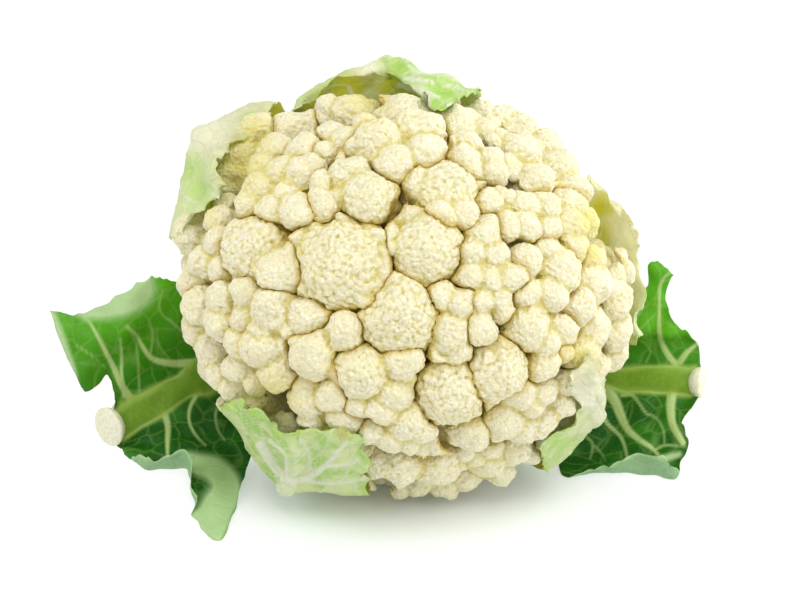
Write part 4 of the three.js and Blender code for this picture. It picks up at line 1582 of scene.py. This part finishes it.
WRAPPER_ROWS, WRAPPER_COLUMNS = 72, 62

# Length, height and reach of the waves in mm, and the seed of their noise.
FRILL = (6.0, 1.7, 4, 70)
SWAY = (16.0, 1.5, math.inf, 71)
TEETH = (2.6, 1.4, 1.5, 72)
BITES = (11.0, 3.0, 5, 73)


def rows_from_stem(azimuth, half_widths, columns):
    """The hidden rows of a wrapper leaf: from the stem's side up behind the curd."""
    rows = []
    for (distance, along), half_width in zip(WRAPPER_SPINE, half_widths):
        angle = math.radians(azimuth) + np.linspace(-1, 1, columns) * half_width / distance
        rows.append(np.stack([distance * np.cos(angle), distance * np.sin(angle),
            np.full(columns, along)], axis=1))
    return rows


def clear_of_curd(points):
    """Brings forward the points that would lie inside the dome."""
    inside = 1 - (points[..., 0] / CURD["across"]) ** 2 - (points[..., 1] / CURD["up"]) ** 2
    dome = CURD["front"] * np.sqrt(np.clip(inside, 0, 1)) + CLEARANCE
    lifted = np.where((points[..., 2] > 1) & (inside > 0), np.maximum(points[..., 2], dome),
        points[..., 2])
    return np.concatenate([points[..., :2], lifted[..., None]], axis=-1)


# %% The wrapper leaves
def wrapper_leaf(name):
    """One wrapper leaf: its net drawn fine, frilled and toothed, with veins and a rib."""
    seen = clear_of_curd(seen_to_head(WRAPPER_LEAVES[name]))
    azimuth, half_widths = WRAPPER_AZIMUTH[name]
    net = np.concatenate([rows_from_stem(azimuth, half_widths, seen.shape[1]), seen])
    sheet = fine_net(net, WRAPPER_ROWS, WRAPPER_COLUMNS)
    s = np.linspace(0, 1, WRAPPER_ROWS)[:, None]
    edge = margin_distance(sheet)
    free = np.clip(s * 2.5 - 1.0, 0, 1)
    bent = ripple(sheet, edge, *FRILL) + ripple(sheet, edge, *SWAY)
    teeth = np.abs(ripple(sheet, edge, *TEETH))
    bites = np.maximum(ripple(sheet, edge, *BITES), 0)
    sheet = shaped(sheet, bent * free, (teeth + bites) * free)
    half_width = np.linalg.norm(np.diff(sheet, axis=1), axis=-1).sum(axis=1)[:, None] / 2
    rng = np.random.default_rng(len(name))
    veins = fanned_veins(WRAPPER_ROWS, WRAPPER_COLUMNS, half_width, 5, 2.0, rng)
    in_sight = drawn_paths(head_to_seen(sheet), VEINS_IN_SIGHT.get(name, []))
    veins = np.maximum(veins, in_sight * (s > 0.3))
    side = np.linspace(-1, 1, WRAPPER_COLUMNS)[None, :]
    rib_half = 6.0 * (1 - 0.75 * s) + 0.5
    rib = np.sqrt(np.clip(1 - (side * half_width / rib_half) ** 2, 0, 1)) * (1 - s) ** 0.7
    inner_rise = risen(edge, veins, rib, vein_share=0.4, rib_rise=0.5)
    outer_rise = risen(edge, veins, rib, vein_share=0.9, rib_rise=3.5)
    piece = leaf_piece(name, sheet, inner_rise, outer_rise, {
        "vein": veins * 1.3 + rib,
        "edge": np.clip(1 - edge / 5, 0, 1),
        "inside": 1 - s + 0 * edge,
        "pale": np.interp(side, [-1, 1], PALENESS[name]) + 0 * edge,
        "white": nearness(sheet, WHITE_AND_GLOWING_PLACES),
        "fresh": nearness(sheet, FRESH),
        "yellow": nearness(sheet, TOUCHING)})
    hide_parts(name)
    report(f"{name}: {len(piece.data.polygons)} faces")
    return piece


wrapper_leaves = [wrapper_leaf(name) for name in WRAPPER_LEAVES]

# %% [markdown]
# ## The cut leaf bases
#
# More leaves stood round the head before it was trimmed. What is left of them are thick
# bases, each wrapped round the stem and cut straight through. A bent cylinder would do
# from afar, but a leaf's base is a trough: flat inside, round and ribbed outside. So it
# is a short leaf without a blade, made as the other leaves are.

# %% Cut leaf bases
BASE_ROWS, BASE_COLUMNS = 32, 44
CUT_BASES = {           # degrees round the stem, and length in mm
    "cut_base_top_right": (44, 34),
    "cut_base_top": (94, 30),
    "cut_base_top_left": (144, 34),
    "cut_base_under": (-88, 32),
}


def cut_base(name):
    """The stub of a trimmed leaf, with its ribs and its cut face."""
    azimuth, length = CUT_BASES[name]
    s = np.linspace(0, 1, BASE_ROWS)[:, None]
    side = np.linspace(-1, 1, BASE_COLUMNS)[None, :]
    distance = STEM_SIDE + length * s + 0 * side
    angle = math.radians(azimuth) + side * (8.6 + 3 * s) / distance
    along = -80 + 14 * s ** 1.5 + 3 * side ** 2
    sheet = np.stack([distance * np.cos(angle), distance * np.sin(angle), along], axis=-1)
    ribs = sheet_waves(np.stack([side * 11 + 0 * s, s * 6 + 0 * side], axis=-1), 2.4, 90) * 0.25
    uneven = sheet_waves(sheet, 7.0, 91) * 0.2
    round_off = np.sqrt(np.clip(1 - side ** 2, 0, 1))
    outer_rise = 2.5 + (9 - 2 * s) * round_off + ribs
    piece = leaf_piece(name + "_stalk", sheet, 1.0 + uneven, outer_rise, {
        "vein": np.clip(ribs * 2, 0, 1),
        "cut": np.clip(s * 30 - 28.4, 0, 1) + 0 * side})
    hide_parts(name)
    return piece


cut_bases = [cut_base(name) for name in CUT_BASES]
report(f"{len(cut_bases)} cut bases")

# %% [markdown]
# ## The finish of the leaves
#
# A leaf is green flesh under a waxy skin. It shines dully, and it lets some light
# through, which no opaque paint does: so its surface mixes a plain dull one with a
# translucent one. Light and shade are painted on the outer leaves: they are lighter where
# they stand highest, and more so on the right, above that leaf's fold, and darker low down
# in the curd's shade. Their midribs are olive. The wrapper leaves grew in the dark and are
# bleached, some almost white, and painted light makes a few of their white places glow.

# %% A leaf's surface
def leaf_surface(tree, output, tint, bump, glow):
    """A dull waxy surface that passes on a share of the light behind it."""
    waxy = add_node(tree, "BsdfPrincipled", {
        "Base Color": tint, "Roughness": 0.5, "Specular IOR Level": 0.3, "Normal": bump})
    through = add_node(tree, "BsdfTranslucent", {"Color": tint, "Normal": bump})
    both = add_node(tree, "MixShader", {0: glow, 1: waxy.outputs[0], 2: through.outputs[0]})
    tree.links.new(both.outputs[0], output.inputs["Surface"])


# %% The finest veins
def leaf_net(tree, place, size):
    """The finest veins: lines between cells of that size in mm, bent by noise."""
    bend = add_node(tree, "TexNoise", {
        "Vector": place, "Scale": 0.6 * per_metre(size), "Detail": 1.0})
    bent = add_node(tree, "VectorMath", {0: bend.outputs["Color"], "Scale": 1.5 * size * MM},
        operation="SCALE")
    moved = add_node(tree, "VectorMath", {0: place, 1: bent.outputs[0]}, operation="ADD")
    cells = add_node(tree, "TexVoronoi", {
        "Vector": moved.outputs[0], "Scale": per_metre(size)}, feature="DISTANCE_TO_EDGE")
    return share_between(tree, cells.outputs["Distance"], 0.09, 0.0)


# %% Outer leaf: a dark green blade with a waxy bloom
BLADE_CLOUD = 16        # mm, lighter patches of the blade
RIB_STRIPE = 1.6        # mm between the fibres of the midrib
OUTER_NET, OUTER_FINE_NET = 9.5, 3      # mm across the cells between the small veins


def outer_leaf_material():
    """Grown in full light: a thick blade with a glaucous underside. Light and shade are
    painted on it: dark low down, in the curd's shade, and lighter and yellower towards the
    top. Little light comes through it."""
    material, tree, output = new_material("outer_leaf_waxy_green")
    place = add_node(tree, "TexCoord").outputs["Object"]
    where = add_node(tree, "SeparateXYZ", {0: place})
    clouds = add_node(tree, "TexNoise", {
        "Vector": place, "Scale": per_metre(BLADE_CLOUD), "Detail": 3.0}).outputs["Fac"]
    stripes = add_node(tree, "TexNoise", {
        "Vector": place, "Scale": per_metre(RIB_STRIPE), "Detail": 2.0}).outputs["Fac"]
    net = leaf_net(tree, place, OUTER_NET)
    fine_net_lines = leaf_net(tree, place, OUTER_FINE_NET)
    # Painted light: the right leaf above its fold is painted lighter, where more light falls.
    painted_light_above_fold = add_node(tree, "Math", {
        0: share_between(tree, where.outputs["Z"], 0.0425, 0.0455),
        1: share_between(tree, where.outputs["X"], 0.0, 0.08)}, operation="MULTIPLY").outputs[0]
    midrib = painted(tree, "#7DA62A", [(stripes, 0.4, 0.7, "#93B944", 0.5)])
    underside = painted(tree, "#8DB885", [
        (net, 0.0, 1.0, "#B9D3A4", 0.2),
        (stripes, 0.35, 0.9, "#A5CB8E"),
        ("edge", 0.5, 1.0, "#B9D79A"),
        ("vein", 0.2, 0.9, "#D5E4B0"),
        ("midrib", 0.05, 0.9, "#D3DFB2"),
    ])
    tint = painted(tree, "#146003", [
        # Painted light and shade: lighter higher up, darker low down in the curd's shade.
        (where.outputs["Z"], 0.012, 0.07, "#68C410"),
        (painted_light_above_fold, 0.0, 1.0, "#60B514"),
        (clouds, 0.5, 0.75, "#3A8F0C"),
        (fine_net_lines, 0.0, 1.0, "#9CC860", 0.08),
        (net, 0.0, 1.0, "#A9CE70", 0.2),
        ("bleached", 0.1, 0.9, "#BCDB9C"),
        ("vein", 0.12, 0.75, "#BFD78A"),
        ("midrib", 0.05, 0.6, "#B2CF62"),
        ("midrib", 0.6, 1.0, midrib),
        ("underside", 0.4, 0.6, underside),
        ("cut", 0.1, 0.8, "#E9E8CA"),
    ])
    net_on_blade = add_node(tree, "Math", {
        0: net, 1: share_between(tree, "midrib", 0.6, 0.1)}, operation="MULTIPLY").outputs[0]
    bump = add_node(tree, "Bump", {
        "Height": net_on_blade, "Distance": 0.3 * MM, "Strength": 0.5}, invert=True)
    leaf_surface(tree, output, tint, bump.outputs["Normal"], 0.2)
    return material


# %% Wrapper leaf: bleached, thin and soft
WRAPPER_CLOUD = 9       # mm, patches that light reached
WRAPPER_NET, WRAPPER_FINE_NET = 6, 2.4  # mm across the cells between the small veins


def wrapper_leaf_material():
    """Grown in the dark against the curd: pale, thin enough to glow with the light behind
    it, and yellow where it touches."""
    material, tree, output = new_material("wrapper_leaf_bleached")
    place = add_node(tree, "TexCoord").outputs["Object"]
    clouds = add_node(tree, "TexNoise", {
        "Vector": place, "Scale": per_metre(WRAPPER_CLOUD), "Detail": 3.0,
        "Distortion": 0.6}).outputs["Fac"]
    net = leaf_net(tree, place, WRAPPER_NET)
    fine_net_lines = leaf_net(tree, place, WRAPPER_FINE_NET)
    inner_face = share_between(tree, "underside", 0.6, 0.4)
    behind_curd = add_node(tree, "Math", {
        0: share_between(tree, "inside", 0.25, 0.5), 1: inner_face},
        operation="MULTIPLY").outputs[0]
    touching = add_node(tree, "Math", {
        0: share_between(tree, "yellow", 0.2, 0.9), 1: inner_face},
        operation="MULTIPLY").outputs[0]
    tint = painted(tree, "#A9D855", [
        (clouds, 0.42, 0.6, "#DDEBA6"),
        ("edge", 0.3, 1.0, "#B9E24C"),
        (fine_net_lines, 0.0, 1.0, "#E4EEC4", 0.3),
        (net, 0.0, 1.0, "#E9F0CC", 0.55),
        ("pale", 0.0, 1.15, "#FAF7D4"),
        # Whiter places: the leaf's own paleness, and painted light where it glows.
        ("white", 0.2, 0.9, "#FAF8DC"),
        ("fresh", 0.3, 1.5, "#B0E048"),
        ("yellow", 0.2, 0.9, "#E6E692", 0.6),
        (touching, 0.0, 1.0, "#E8E25A"),
        (behind_curd, 0.0, 1.0, "#DEDC60"),
        ("vein", 0.1, 0.9, "#F2F5DC"),
    ])
    bump = add_node(tree, "Bump", {"Height": net, "Distance": 0.4 * MM, "Strength": 0.6})
    thinnest = add_node(tree, "Math", {
        0: share_between(tree, "pale", 0.7, 1.1),
        1: share_between(tree, "yellow", 0.2, 0.9)}, operation="MAXIMUM").outputs[0]
    glow = add_node(tree, "Math", {0: thinnest, 1: 0.3, 2: 0.25}, operation="MULTIPLY_ADD")
    leaf_surface(tree, output, tint, bump.outputs["Normal"], glow.outputs[0])
    return material


# %% Cut stalk: pale rind round damp, fibrous flesh
STALK_FIBRE = 1.3       # mm between the ends of the fibres
STALK_CLOUD = 12        # mm, paler patches of the rind


def cut_base_material():
    """A knife went through it, so its flesh shows: cream, with the ends of its fibres as
    darker specks."""
    material, tree, output = new_material("cut_leaf_stalk")
    place = add_node(tree, "TexCoord").outputs["Object"]
    fibres = add_node(tree, "TexNoise", {
        "Vector": place, "Scale": per_metre(STALK_FIBRE), "Detail": 3.0}).outputs["Fac"]
    clouds = add_node(tree, "TexNoise", {
        "Vector": place, "Scale": per_metre(STALK_CLOUD), "Detail": 2.0}).outputs["Fac"]
    flesh = painted(tree, "#ECEAD2", [(fibres, 0.4, 0.8, "#D6D3A8")])
    tint = painted(tree, "#B7CC80", [
        (clouds, 0.35, 0.7, "#D6DFAE"),
        ("vein", 0.0, 1.0, "#9DB95F"),
        ("cut", 0.1, 0.8, flesh),
    ])
    bump = add_node(tree, "Bump", {"Height": fibres, "Distance": 0.3 * MM, "Strength": 0.5})
    leaf_surface(tree, output, tint, bump.outputs["Normal"], 0.0)
    return material


# %% Finishes on their pieces
for pieces, finish in (
        (outer_leaves, outer_leaf_material()),
        (wrapper_leaves, wrapper_leaf_material()),
        (cut_bases + cut_ends, cut_base_material())):
    for piece in pieces:
        piece.data.materials.append(finish)
    print(finish.name, "on", len(pieces), "pieces")

# %% [markdown]
# ## The floor and the light
#
# A sheet of pale paper under large soft lamps, as for a picture in a catalogue. One lamp
# hangs above, two weaker ones stand at the sides, and one stands behind, so that thin
# leaves glow. Real paper under such light greys towards the corners of the picture, and
# a curved backdrop would need far more light. So the paper turns to plain white away
# from the head, and shows its own dull surface, with the shadow, only close to it.

# %% The lamps
LAMP_SIZE = 0.8         # m across
LAMPS = {               # place in metres, and power in watts
    "softbox_above": ((0.1, -0.5, 1.2), 6.8),
    "softbox_right": ((1.0, -0.6, 0.5), 4.0),
    "softbox_left": ((-1.1, -0.1, 0.7), 3.5),
    "softbox_behind": ((1.0, 0.6, 0.5), 7.0),
}
LAMPS_AIM = Vector((0, 0, 0.07))
DAYLIGHT = 0.62         # strength of the white light from all round

for name, (where, watts) in LAMPS.items():
    light = bpy.data.lights.new(name, "AREA")
    light.shape = "DISK"
    light.size = LAMP_SIZE
    light.energy = watts
    lamp = bpy.data.objects.new(name, light)
    lamp.location = where
    aim = LAMPS_AIM - Vector(where)
    lamp.rotation_euler = aim.to_track_quat("-Z", "Y").to_euler()
    bpy.context.collection.objects.link(lamp)

world = bpy.data.worlds.new("studio")
world.use_nodes = True
background = world.node_tree.nodes["Background"]
background.inputs["Color"].default_value = (1, 1, 1, 1)
background.inputs["Strength"].default_value = DAYLIGHT
bpy.context.scene.world = world
bpy.context.scene.view_settings.view_transform = "Standard"
print(len(LAMPS), "lamps")

# %% The floor
BRIGHTENING = ((0.13, 0.1), (0.18, 0.55), (0.23, 0.85), (0.3, 0.95), (0.5, 1.0))
FAR = 0.3               # m from the middle, where the brightening has run through
HEAD_IS_WIDER = (0.75, 1.0, 1.0)        # the bright ring follows the head's outline

bpy.ops.mesh.primitive_circle_add(vertices=96, radius=3.0, fill_type="NGON")
floor = bpy.context.object
floor.name = "floor"
floor_material, tree, output = new_material("pale_paper")
paper = add_node(tree, "BsdfPrincipled", {"Base Color": "#EFF5F3", "Roughness": 0.8})
white = add_node(tree, "Emission", {"Color": (1, 1, 1, 1), "Strength": 1.05})
place = add_node(tree, "TexCoord").outputs["Object"]
squeezed = add_node(tree, "VectorMath", {0: place, 1: HEAD_IS_WIDER}, operation="MULTIPLY")
away = add_node(tree, "VectorMath", {0: squeezed.outputs[0]}, operation="LENGTH")
ring = add_node(tree, "ValToRGB", {
    0: share_between(tree, away.outputs["Value"], 0.0, FAR)})
for position, level in BRIGHTENING:
    stop = ring.color_ramp.elements.new(position)
    stop.color = (level, level, level, 1)
floor_light = add_node(tree, "MixShader", {
    0: ring.outputs[0], 1: paper.outputs[0], 2: white.outputs[0]})
tree.links.new(floor_light.outputs[0], output.inputs["Surface"])
floor.data.materials.append(floor_material)
print("floor of", floor_material.name)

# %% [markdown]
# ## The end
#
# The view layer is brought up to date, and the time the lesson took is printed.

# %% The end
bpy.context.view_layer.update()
report("done")
